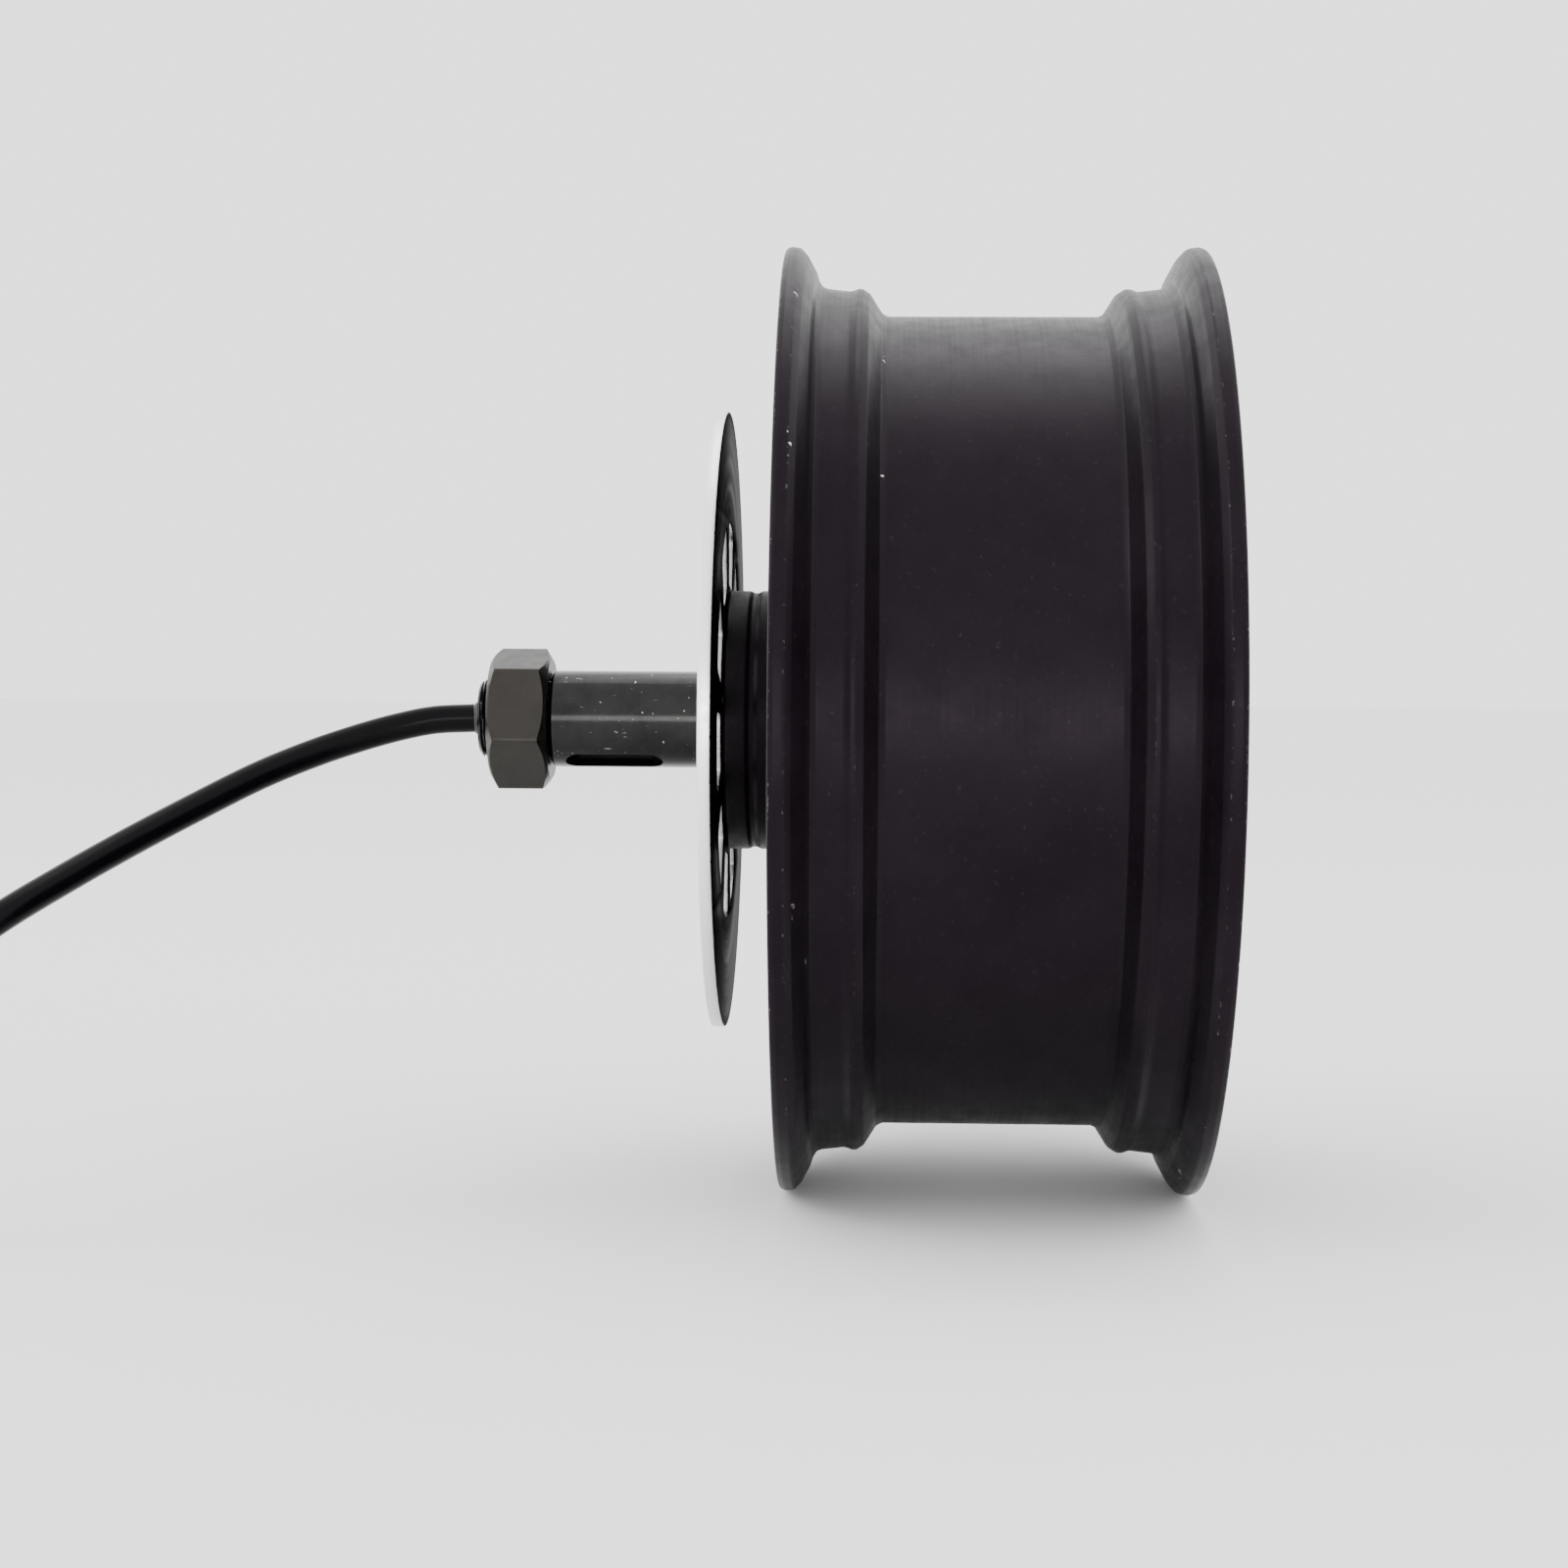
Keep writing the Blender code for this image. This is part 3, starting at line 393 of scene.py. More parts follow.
def rounded(outline, steps=4, closed=True):
    """Points of an outline whose corners are rounded. A corner is (a, b) or (a, b, radius)."""
    count = len(outline)
    line = []
    for i, corner in enumerate(outline):
        here = Vector(corner[:2])
        radius = corner[2] if len(corner) > 2 else 0.0
        if radius <= 0 or (not closed and i in (0, count - 1)):
            line.append(here)
            continue
        before = Vector(outline[i - 1][:2]) - here
        after = Vector(outline[(i + 1) % count][:2]) - here
        half = (math.pi - before.angle(after)) / 2
        cut = min(radius * math.tan(half), 0.48 * before.length, 0.48 * after.length)
        start = here + before.normalized() * cut
        end = here + after.normalized() * cut
        for k in range(steps + 1):
            t = k / steps
            line.append((1 - t) ** 2 * start + 2 * t * (1 - t) * here + t * t * end)
    return line


def divided(line, longest):
    """The closed line with extra points where its points are far apart."""
    result = []
    for a, b in zip(line, line[1:] + line[:1]):
        parts = max(1, math.ceil((b - a).length / longest))
        result += [a + (b - a) * (i / parts) for i in range(parts)]
    return result


def lathe_mesh(name, line, sides, closed=True, sharp=32.0, place=None):
    """Turns (radius, station) points about the axle's axis, or about the local Z axis of a place."""
    verts = []
    for radius, height in line:
        for i in range(sides):
            angle = 2 * math.pi * i / sides
            x, y = polar(radius, angle)
            verts.append(place @ Vector((x, y, height)) if place else Vector((x, MID_PLANE + height, y)))
    rows = len(line)
    faces = []
    for j in range(rows if closed else rows - 1):
        for i in range(sides):
            k = (i + 1) % sides
            n = (j + 1) % rows
            faces.append((j * sides + i, j * sides + k, n * sides + k, n * sides + i))
    if not closed:
        faces.append(tuple(range(sides)))
        faces.append(tuple((rows - 1) * sides + i for i in range(sides)))
    return mesh_from(name, verts, faces, sharp)


def loft_mesh(name, rings, sharp=32.0, capped=True):
    """A skin through rings that have the same number of points."""
    count = len(rings[0])
    verts = [p for ring in rings for p in ring]
    faces = []
    for j in range(len(rings) - 1):
        for i in range(count):
            k = (i + 1) % count
            faces.append((j * count + i, j * count + k, (j + 1) * count + k, (j + 1) * count + i))
    if capped:
        faces.append(tuple(range(count)))
        faces.append(tuple((len(rings) - 1) * count + i for i in range(count)))
    return mesh_from(name, verts, faces, sharp)


def hoop_mesh(name, rings, sharp=32.0):
    """A skin through rings, the last of which joins the first."""
    return loft_mesh(name, rings + [rings[0]], sharp, capped=False)


def joined_mesh(name, meshes):
    """Several meshes as one."""
    shape = bmesh.new()
    for mesh in meshes:
        shape.from_mesh(mesh)
    result = bpy.data.meshes.new(name)
    shape.to_mesh(result)
    shape.free()
    return result


def circle(radius, count):
    return [polar(radius, 2 * math.pi * i / count) for i in range(count)]


def hexagon(flats, count, turn=0.0):
    """Points round a regular hexagon, whose first flat faces turn."""
    points = []
    for i in range(count):
        angle = 2 * math.pi * i / count
        off = (angle + math.pi / 6) % (math.pi / 3) - math.pi / 6
        radius = flats / 2 / math.cos(off)
        points.append(polar(radius, angle + turn))
    return points


def piece(name, mesh, material, body, replaced=(), place=None):
    """Adds a finished piece that rides on a body and stands for CAD nodes."""
    mesh.materials.clear()
    mesh.materials.append(material)
    made = add_object(name, mesh)
    if place:
        made.matrix_world = place
    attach(made, body)
    if replaced:
        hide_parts(*replaced)
    return made


def cut(mesh, cutters):
    """The mesh with other meshes cut out of it."""
    target = add_object("target", mesh)
    helpers = []
    for cutter in cutters:
        helper = add_object("cutter", cutter)
        step = target.modifiers.new("cut", "BOOLEAN")
        step.object = helper
        step.operation = "DIFFERENCE"
        step.solver = "EXACT"
        helpers.append(helper)
    seen = target.evaluated_get(bpy.context.evaluated_depsgraph_get())
    result = bpy.data.meshes.new_from_object(seen)
    for thing in (target, *helpers):
        bpy.data.objects.remove(thing, do_unlink=True)
    return smooth(result)


def on_axle(way, station=0.0):
    """Local +Z points to +Y where way is 1, and to -Y where it is -1."""
    return Matrix.Translation((0, MID_PLANE + station, 0)) @ Matrix.Rotation(-way * math.pi / 2, 4, "X")


# Cable.

def smooth_line(points, per_span):
    """Points along a Catmull-Rom curve through the given points."""
    knots = [Vector(p) for p in points]
    knots = [2 * knots[0] - knots[1], *knots, 2 * knots[-1] - knots[-2]]
    line = []
    for a, b, c, d in zip(knots, knots[1:], knots[2:], knots[3:]):
        for i in range(per_span):
            t = i / per_span
            second = (2 * a - 5 * b + 4 * c - d) * t**2
            third = (3 * b - a - 3 * c + d) * t**3
            line.append(0.5 * (2 * b + (c - a) * t + second + third))
    line.append(knots[-2])
    return line


CABLE_FLOOR = FLOOR + CABLE_RADIUS + 0.0001
CABLE_START = MID_PLANE - 0.1969
ROUTE = [
    (0.0000, CABLE_START, 0.0000), (0.0006, -0.1040, -0.0008), (0.0035, -0.1170, -0.0034),
    (0.0090, -0.1310, -0.0075), (0.0180, -0.1480, -0.0137), (0.0310, -0.1665, -0.0222),
    (0.0480, -0.1860, -0.0335), (0.0680, -0.2052, -0.0455), (0.0900, -0.2225, -0.0575),
    (0.1120, -0.2386, -0.0697), (0.1320, -0.2560, -0.0850), (0.1490, -0.2745, -0.1030),
    (0.1620, -0.2940, -0.1230), (0.1710, -0.3150, -0.1440), (0.1752, -0.3360, -0.1620),
    (0.1757, -0.3580, CABLE_FLOOR),
]
COIL_CENTRE = Vector((0.108, -0.388, 0.0))
TAIL_LINE = -0.45
TAIL_END = 0.038
BREAKOUT_LENGTH = 0.034
LEADS = [                        # name, radius, place in the breakout and rest line
    ("phase_lead_1", 0.0022, -0.0025, -0.0024, -0.021),
    ("phase_lead_2", 0.0022, -0.0025, 0.0024, -0.007),
    ("phase_lead_3", 0.0022, 0.0025, 0.0024, 0.0075),
    ("signal_lead", 0.002, 0.0025, -0.0024, 0.023),
]


def coil_points():
    """Clockwise seen from above: one flat turn, then one that climbs over it, then a quarter turn out."""
    turn_gap = 0.0114
    points = []
    for step in range(54):
        angle = math.radians(15.0 * step)
        turns = angle / (2 * math.pi)
        if turns <= 1.0:
            radius = 0.062 - turn_gap * turns
            lift = 0.0
        else:
            share = min(1.0, (turns - 1.0) / 0.36)
            radius = 0.0506 + 0.0066 * math.sin(share * math.pi / 2) ** 1.2
            lift = COIL_LIFT * math.sin(share * math.pi / 2)
            if turns > 2.0:
                radius += 0.0048 * (turns - 2.0) / 0.25
        x, y = polar(radius, angle)
        points.append(COIL_CENTRE + Vector((x, -y, CABLE_FLOOR + lift)))
    return points


def eased(line, first, last):
    """The line with its heights evened out between two of its points, where it lands on the floor."""
    for _ in range(24):
        heights = [p.z for p in line]
        for i in range(first, last):
            line[i].z = (heights[i - 1] + 2 * heights[i] + heights[i + 1]) / 4
    return line


def cord_curve(name, line, radius, material):
    data = bpy.data.curves.new(name, "CURVE")
    data.dimensions = "3D"
    data.bevel_depth = radius
    data.bevel_resolution = 7
    data.use_fill_caps = True
    spline = data.splines.new("POLY")
    spline.points.add(len(line) - 1)
    for point, spot in zip(spline.points, line):
        point.co = (*spot, 1.0)
    spline.use_smooth = True
    data.materials.append(material)
    made = add_object(name, data)
    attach(made, "axle")
    return made


def make_cable():
    colour, dusty = (0.0012, 0.0012, 0.0018), (0.0038, 0.0039, 0.0046)
    jacket = soft_black("cable_jacket_look", colour, dusty, 0.16, 0.26, 1600.0, Specular_IOR_Level=0.07)
    tail = [
        (0.098, TAIL_LINE, CABLE_FLOOR + 0.0108), (0.088, TAIL_LINE, CABLE_FLOOR + 0.0092),
        (0.078, TAIL_LINE, CABLE_FLOOR + 0.0064), (0.0695, TAIL_LINE, CABLE_FLOOR + 0.0036),
        (0.059, TAIL_LINE, CABLE_FLOOR + 0.0012), (0.048, TAIL_LINE, CABLE_FLOOR + 0.0001),
        (TAIL_END, TAIL_LINE, CABLE_FLOOR),
    ]
    per_span = 5
    line = smooth_line([*ROUTE, *coil_points(), *tail], per_span)
    touchdown = per_span * (len(ROUTE) - 1)
    line = eased([Vector((p.x, p.y, max(p.z, CABLE_FLOOR))) for p in line], touchdown - 9, touchdown + 7)
    made = cord_curve("cable", line, CABLE_RADIUS, jacket)
    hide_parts("motor_cable", "cable_coil", "cable_tail")
    return made


def breakout_place():
    """Local +Z points to +X, at the end of the jacket."""
    spot = Matrix.Translation((TAIL_END - 0.0003, TAIL_LINE, LEAD_HEIGHT))
    return spot @ Matrix.Rotation(math.pi / 2, 4, "Y")


def make_breakout():
    """A moulded boot with grip rings and a flat end that the leads leave."""
    outline = [(0.0001, 0.0), (0.0058, 0.0, 0.0008), (0.0068, -0.0028, 0.001)]
    for ring in range(5):
        top = -0.006 - 0.003 * ring
        for radius, down in ((0.0068, 0.0), (0.0061, 0.0006), (0.0061, 0.0012), (0.0068, 0.0018)):
            outline.append((radius, top - down, 0.0003))
    outline += [(0.0067, -0.0225, 0.001), (0.0057, -BREAKOUT_LENGTH, 0.0008), (0.0001, -BREAKOUT_LENGTH)]
    mesh = lathe_mesh("breakout", rounded(outline, 3, False), 48, False, place=breakout_place())
    look = soft_black("boot_look", (0.013, 0.013, 0.014), (0.05, 0.05, 0.05), 0.45, 0.65, 1200.0)
    return piece("breakout", mesh, look, "axle", ("cable_breakout",))


def make_lug(number, lug_end, aside, look):
    """A ring lug: a crimped barrel that flattens into a tongue with an eye."""
    z = FLOOR + 0.0023
    sections = []
    for x, wide, high, lift in (
        (0.0, 0.0027, 0.0022, 0.0008), (0.001, 0.0028, 0.0023, 0.0008), (0.0028, 0.0028, 0.0019, 0.0006),
        (0.004, 0.0028, 0.0019, 0.0006), (0.0058, 0.0027, 0.0022, 0.0008), (0.0066, 0.0027, 0.002, 0.0006),
        (0.0092, 0.003, 0.0009, 0.0), (0.0104, 0.0032, 0.0008, 0.0),
    ):
        squash = 0.75 if x > 0.008 else 1.0
        ring = []
        for cx, cz in circle(1.0, 32):
            out = wide * math.copysign(abs(cx) ** squash, cx)
            rise = high * math.copysign(abs(cz) ** squash, cz)
            ring.append(Vector((lug_end - x, aside + out, z + lift + rise)))
        sections.append(ring)
    barrel = loft_mesh(f"barrel_{number}", sections)
    eye = lug_end - 0.0148
    rings = []
    for radius, height in (
        (0.0027, -0.0007), (0.0027, 0.0007), (0.0029, 0.0008), (0.005, 0.0008),
        (0.0052, 0.0006), (0.0052, -0.0006), (0.005, -0.0008), (0.0029, -0.0008),
    ):
        rings.append([Vector((eye + x, aside + y, z + height)) for x, y in circle(radius, 48)])
    tongue = hoop_mesh(f"tongue_{number}", rings)
    name = f"ring_lug_{number}"
    mesh = smooth(joined_mesh(name, [barrel, tongue]))
    return piece(name, mesh, look, "axle", (f"phase_lug_{number}",))


def box_piece_mesh(name, low, high, bevel, segments=3):
    """A box between two corners with rounded edges."""
    shape = bmesh.new()
    size = Vector(high) - Vector(low)
    middle = (Vector(high) + Vector(low)) / 2
    bmesh.ops.create_cube(shape, size=1.0, matrix=Matrix.Translation(middle) @ Matrix.Diagonal((*size, 1.0)))
    edges = list(shape.edges)
    bmesh.ops.bevel(shape, geom=edges, offset=bevel, segments=segments, profile=0.5, affect="EDGES")
    mesh = bpy.data.meshes.new(name)
    shape.to_mesh(mesh)
    shape.free()
    return smooth(mesh)


def make_plug(lead_end, aside):
    """A latched nylon housing with five cavities in its far face."""
    near, far = lead_end, lead_end - 0.018
    base = FLOOR + 0.0001

    def box(name, x, y, half, foot, top, bevel, segments=3):
        low, high = (x[0], y - half, base + foot), (x[1], y + half, base + top)
        return box_piece_mesh(name, low, high, bevel, segments)

    parts = [
        box("housing", (far, near - 0.0016), aside, 0.006, 0.0, 0.0068, 0.0004),
        box("collar", (near - 0.003, near), aside, 0.005, 0.0006, 0.0062, 0.0005),
        box("latch", (far + 0.003, near - 0.004), aside, 0.0018, 0.0066, 0.0079, 0.0003),
    ]
    for side in (-1, 1):
        middle = aside + side * 0.0044
        parts.append(box("rail", (far + 0.001, near - 0.006), middle, 0.0005, 0.0066, 0.0074, 0.0002))
    wells = []
    for k in range(-2, 3):
        middle = aside + 0.0021 * k
        wells.append(box("well", (far - 0.001, far + 0.006), middle, 0.0008, 0.0022, 0.0046, 0.0001, 1))
    parts[0] = cut(parts[0], wells)
    look = plastic("nylon_look", (0.72, 0.7, 0.64), 0.3, 0.48)
    mesh = smooth(joined_mesh("signal_connector", parts))
    return piece("signal_connector", mesh, look, "axle", ("signal_plug",))


def make_leads():
    start = TAIL_END - 0.0006 - BREAKOUT_LENGTH
    black = ("signal_lead_look", (0.013, 0.013, 0.015), (0.04, 0.04, 0.04), 0.28, 0.45, 1500.0)
    looks = {
        "phase_lead_1": ("lead_yellow", plastic("yellow_lead_look", (0.66, 0.44, 0.03), 0.28, 0.42)),
        "phase_lead_2": ("lead_green", plastic("green_lead_look", (0.03, 0.27, 0.08), 0.28, 0.42)),
        "phase_lead_3": ("lead_blue", plastic("blue_lead_look", (0.03, 0.09, 0.42), 0.28, 0.42)),
        "signal_lead": ("cable_jacket", soft_black(*black)),
    }
    tin = plain_metal("tin_look", (0.52, 0.51, 0.48), (0.66, 0.65, 0.61), 0.22, 0.4)
    made = []
    for name, radius, near, above, aside in LEADS:
        rest = FLOOR + radius + 0.0001
        outer = above < 0
        lift = 0.0002 if outer else 0.0029
        points = [
            (start, TAIL_LINE + near, LEAD_HEIGHT + above),
            (start - 0.008, TAIL_LINE + near * (1.5 if outer else 1.1), LEAD_HEIGHT + above - 0.0005),
            (start - 0.024, TAIL_LINE + aside * (0.45 if outer else 0.6), rest + lift),
            (start - 0.042, TAIL_LINE + aside * (0.85 if outer else 0.95), rest),
            (start - LEAD_LENGTH, TAIL_LINE + aside, rest),
        ]
        slot, look = looks[name]
        lead = cord_curve(f"{name}_insulation", smooth_line(points, 6), radius, look)
        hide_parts(name)
        lead_end = start - LEAD_LENGTH - 0.0003
        if name == "signal_lead":
            end = make_plug(lead_end, TAIL_LINE + aside)
        else:
            end = make_lug(int(name[-1]), lead_end, TAIL_LINE + aside, tin)
        made.append((lead, points, radius, end))
    return made


def make_tie():
    """A nylon tie round the coil's two strands, with its head on top and a short cut tail."""
    middle = COIL_CENTRE + Vector((-0.0568, 0.0, 0.0))
    wide, low, top = 0.0063, FLOOR + 0.0002, CABLE_FLOOR + COIL_LIFT + CABLE_RADIUS + 0.0002
    outline = rounded([(-wide, low, 0.005), (wide, low, 0.005), (wide, top, 0.0058), (-wide, top, 0.0058)], 6)
    rings = []
    for shift, out in (
        (-0.0018, 0.0004), (-0.0016, 0.0), (0.0016, 0.0), (0.0018, 0.0004),
        (0.0018, 0.0009), (0.0016, 0.0012), (-0.0016, 0.0012), (-0.0018, 0.0009),
    ):
        ring = []
        for point in outline:
            away = (point - Vector((0.0, (low + top) / 2))).normalized() * out
            z = max(point.y + away.y, FLOOR + 0.0001)
            ring.append(Vector((middle.x + point.x + away.x, middle.y + shift, z)))
        rings.append(ring)
    parts = [hoop_mesh("tie_band", rings)]
    for name, x, y, foot, peak, bevel in (
        ("tie_head", 0.003, 0.0026, 0.0008, 0.0048, 0.0007),
        ("tie_end", 0.0007, 0.0017, 0.002, 0.008, 0.0003),
    ):
        below = (middle.x - x, middle.y - y, top + foot)
        above = (middle.x + x, middle.y + y, top + peak)
        parts.append(box_piece_mesh(name, below, above, bevel))
    look = plastic("tie_look", (0.02, 0.02, 0.022), 0.35, 0.5)
    return piece("coil_tie", smooth(joined_mesh("coil_tie", parts)), look, "axle")


make_camera()
cable = make_cable()
breakout = make_breakout()
tie = make_tie()
for lead, points, radius, end in make_leads():
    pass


# Rim.

def make_rim():
    half = [
        (0.1768, 0.0772, 0.0008), (0.1778, 0.0767, 0.0012), (0.1784, 0.075, 0.0016),
        (0.1779, 0.0718, 0.002), (0.1752, 0.0693, 0.004), (0.1693, 0.0661, 0.006),
        (0.1658, 0.065, 0.004), (0.1637, 0.0636, 0.002), (0.163, 0.0618, 0.002),
        (0.162, 0.053, 0.006), (0.163, 0.0504, 0.0016), (0.163, 0.0488, 0.0018),
        (0.1612, 0.046, 0.0024), (0.1539, 0.0414, 0.003), (0.1528, 0.0392, 0.003),
    ]
    dish = [
        (0.1757, 0.0772, 0.0008), (0.17, 0.0737, 0.005), (0.1635, 0.07, 0.005),
        (0.1596, 0.0668, 0.004), (0.1582, 0.064, 0.003), (0.1582, 0.0496, 0.0035),
        (0.1515, 0.0448, 0.0012), (0.1498, 0.0438, 0.0006), (0.1498, 0.04), (0.138, 0.04),
        (0.138, 0.0283), (0.1468, 0.0283),
    ]

    def mirrored(corners):
        return [(radius, -station, *rest) for radius, station, *rest in corners]

    outline = half + mirrored(reversed(half)) + mirrored(dish) + list(reversed(dish))
    line = divided(rounded(outline, 5), 0.0024)
    piece("rim", lathe_mesh("rim", line, SIDES), rim_coat(), "wheel", ("rim_drum",))


# Covers.

COVER_FOOT = (0.137, 0.047)    # radius and station where both covers' slopes end
RIB_PROFILE = [                  # distance across a rib, and share of its height
    (-0.0062, 0.0), (-0.0047, 0.1), (-0.0038, 0.3), (-0.0034, 0.75), (-0.0031, 0.92), (-0.0023, 1.0),
    (0.0023, 1.0), (0.0031, 0.92), (0.0034, 0.75), (0.0038, 0.3), (0.0047, 0.1), (0.0062, 0.0),
]


def cover_line(outside, inside):
    """A cover's closed outline, with the seat and spigot that both covers share."""
    spigot = 0.1377
    seat = [
        (0.1495, 0.047, 0.0008), (0.1495, 0.0403), (spigot, 0.0403), (spigot, 0.0345), (0.133, 0.0345),
        (0.13, 0.0408, 0.002),
    ]
    return divided(rounded(outside + seat + inside, 4), 0.003)


def rib_mesh(angle, inner, outer, surface, crown):
    """A tapered cast rib. surface and crown give the cover's and the rib's station at a radius."""
    rings = []
    steps = 14
    cosine, sine = math.cos(angle), math.sin(angle)
    for i in range(steps + 1):
        share = i / steps
        r = inner + (outer - inner) * share
        base = surface(r) - 0.0012
        fall = max(0.0, (share - 0.9) / 0.1) ** 2
        top = crown(r) * (1 - fall) + (surface(r) - 0.001) * fall
        rise = max(top - base, 0.0002)
        ring = []
        for across, up in RIB_PROFILE:
            x, y = r * cosine - across * sine, r * sine + across * cosine
            ring.append(Vector((x, y, base + rise * up)))
        rings.append(ring)
    return loft_mesh("rib", rings, sharp=50.0)


def make_cover(side, outside, inside, place, rib_inner, look):
    """Cover outlines give stations away from the middle plane, so one place turns both outward."""
    bored = outside[0][0] > 0.001
    body = lathe_mesh(f"{side}_body", cover_line(outside, inside), SIDES, bored, place=Matrix.Identity(4))
    top_radius, top = (0.057, 0.0667) if side == "left" else (0.048, 0.0661)
    foot_radius, foot = COVER_FOOT

    def surface(r):
        share = (r - top_radius) / (foot_radius - top_radius)
        return top + (foot - top) * min(1.0, max(0.0, share))

    def crown(r):
        return 0.066 - 0.2 * (r - (rib_inner + 0.13) / 2)

    ribs = [rib_mesh(math.radians(45 * k), rib_inner, 0.1345, surface, crown) for k in range(8)]
    pad = rounded([(0.0001, 0.0471), (0.0058, 0.0471, 0.0003), (0.0062, 0.0466), (0.0001, 0.0466)], 2, False)
    pads = []
    for k in range(8):
        angle = math.radians(22.5 + 45 * k)
        centre = Matrix.Translation((*polar(COVER_SCREW_CIRCLE, angle), 0.0))
        pads.append(lathe_mesh("pad", pad, 32, False, place=centre))
    mesh = joined_mesh(f"{side}_cover_mesh", [body, *ribs, *pads])
    mesh.transform(place)
    piece(f"{side}_motor_cover", smooth(mesh, 38.0), look, "wheel", (f"{side}_cover",))


def make_covers():
    look = cover_coat()
    left_outside = [
        (0.0313, 0.103), (0.0356, 0.103, 0.0006), (0.0356, 0.0988, 0.0003), (0.0486, 0.0988, 0.0008),
        (0.0494, 0.098, 0.0008), (0.0494, 0.0908, 0.002), (0.0486, 0.0893, 0.0014),
        (0.0486, 0.0877, 0.0014), (0.0494, 0.0862, 0.002), (0.0494, 0.072, 0.007),
        (0.057, 0.0667, 0.008), (*COVER_FOOT, 0.003),
    ]
    left_inside = [
        (0.064, 0.057, 0.004), (0.043, 0.062, 0.003), (0.0343, 0.064), (0.0343, 0.0803),
        (0.029, 0.0803), (0.029, 0.0937), (0.0313, 0.0937),
    ]
    make_cover("left", left_outside, left_inside, on_axle(-1), 0.048, look)
    right_outside = [
        (0.0002, 0.0745), (0.0386, 0.0745, 0.001), (0.0398, 0.0735, 0.001), (0.04, 0.069, 0.005),
        (0.048, 0.0661, 0.006), (*COVER_FOOT, 0.003),
    ]
    right_inside = [
        (0.044, 0.056, 0.003), (0.0385, 0.049), (0.0313, 0.049), (0.0313, 0.0663), (0.02, 0.0663),
        (0.02, 0.0695), (0.0002, 0.0695),
    ]
    make_cover("right", right_outside, right_inside, on_axle(1), 0.038, look)


# Screws.

def cap_screw_mesh(radius, height, shank, length, flats, domed=False):
    """A screw with a hexagon socket. Local +Z points out of the head and the head bears at 0."""
    count = 48
    if domed:
        crown = [(radius, height * 0.45), (radius * 0.93, height * 0.72), (radius * 0.8, height * 0.92)]
    else:
        crown = [(radius, height * 0.86), (radius - 0.0003, height * 0.96)]
    outside = [
        (shank - 0.0003, -length), (shank, -length + 0.0004), (shank, 0.0), (radius - 0.0002, 0.0),
        (radius, 0.0002), *crown, (radius * (0.66 if domed else 0.9), height),
    ]
    sections = [(circle(r, count), z) for r, z in outside]
    for share, z in ((1.1, height), (1.0, height - 0.0003), (1.0, height * 0.42)):
        sections.append((hexagon(flats * share, count), z))
    sections.append((circle(flats * 0.22, count), height * 0.34))
    return loft_mesh("screw", [[Vector((x, y, z)) for x, y in points] for points, z in sections])


def make_screws():
    steel = plain_metal("screw_look", (0.05, 0.05, 0.052), (0.095, 0.092, 0.09), 0.28, 0.45, 700.0, 0.9)
    for side, way in (("left", -1), ("right", 1)):
        for number in range(1, 9):
            angle = math.radians(22.5 + 45.0 * (number - 1))
            place = on_axle(way) @ Matrix.Translation((*polar(COVER_SCREW_CIRCLE, angle), 0.0474))
            place = place @ Matrix.Rotation(1.7 * number + (0.4 if side == "left" else 0.9), 4, "Z")
            mesh = cap_screw_mesh(0.005, 0.005, 0.00285, 0.014, 0.005)
            replaced = (f"{side}_cover_bolt_{number}",)
            piece(f"{side}_cover_screw_{number}", mesh, steel, "wheel", replaced, place)
    for number in range(1, 7):
        angle = math.radians(10.0 + 60.0 * (number - 1))
        place = on_axle(-1) @ Matrix.Translation((*polar(DISC_SCREW_CIRCLE, angle), 0.104))
        place = place @ Matrix.Rotation(1.3 * number, 4, "Z")
        mesh = cap_screw_mesh(0.005, 0.0033, 0.00285, 0.015, 0.004, domed=True)
        piece(f"disc_screw_{number}", mesh, steel, "wheel", (f"disc_bolt_{number}",), place)


# Brake disc.

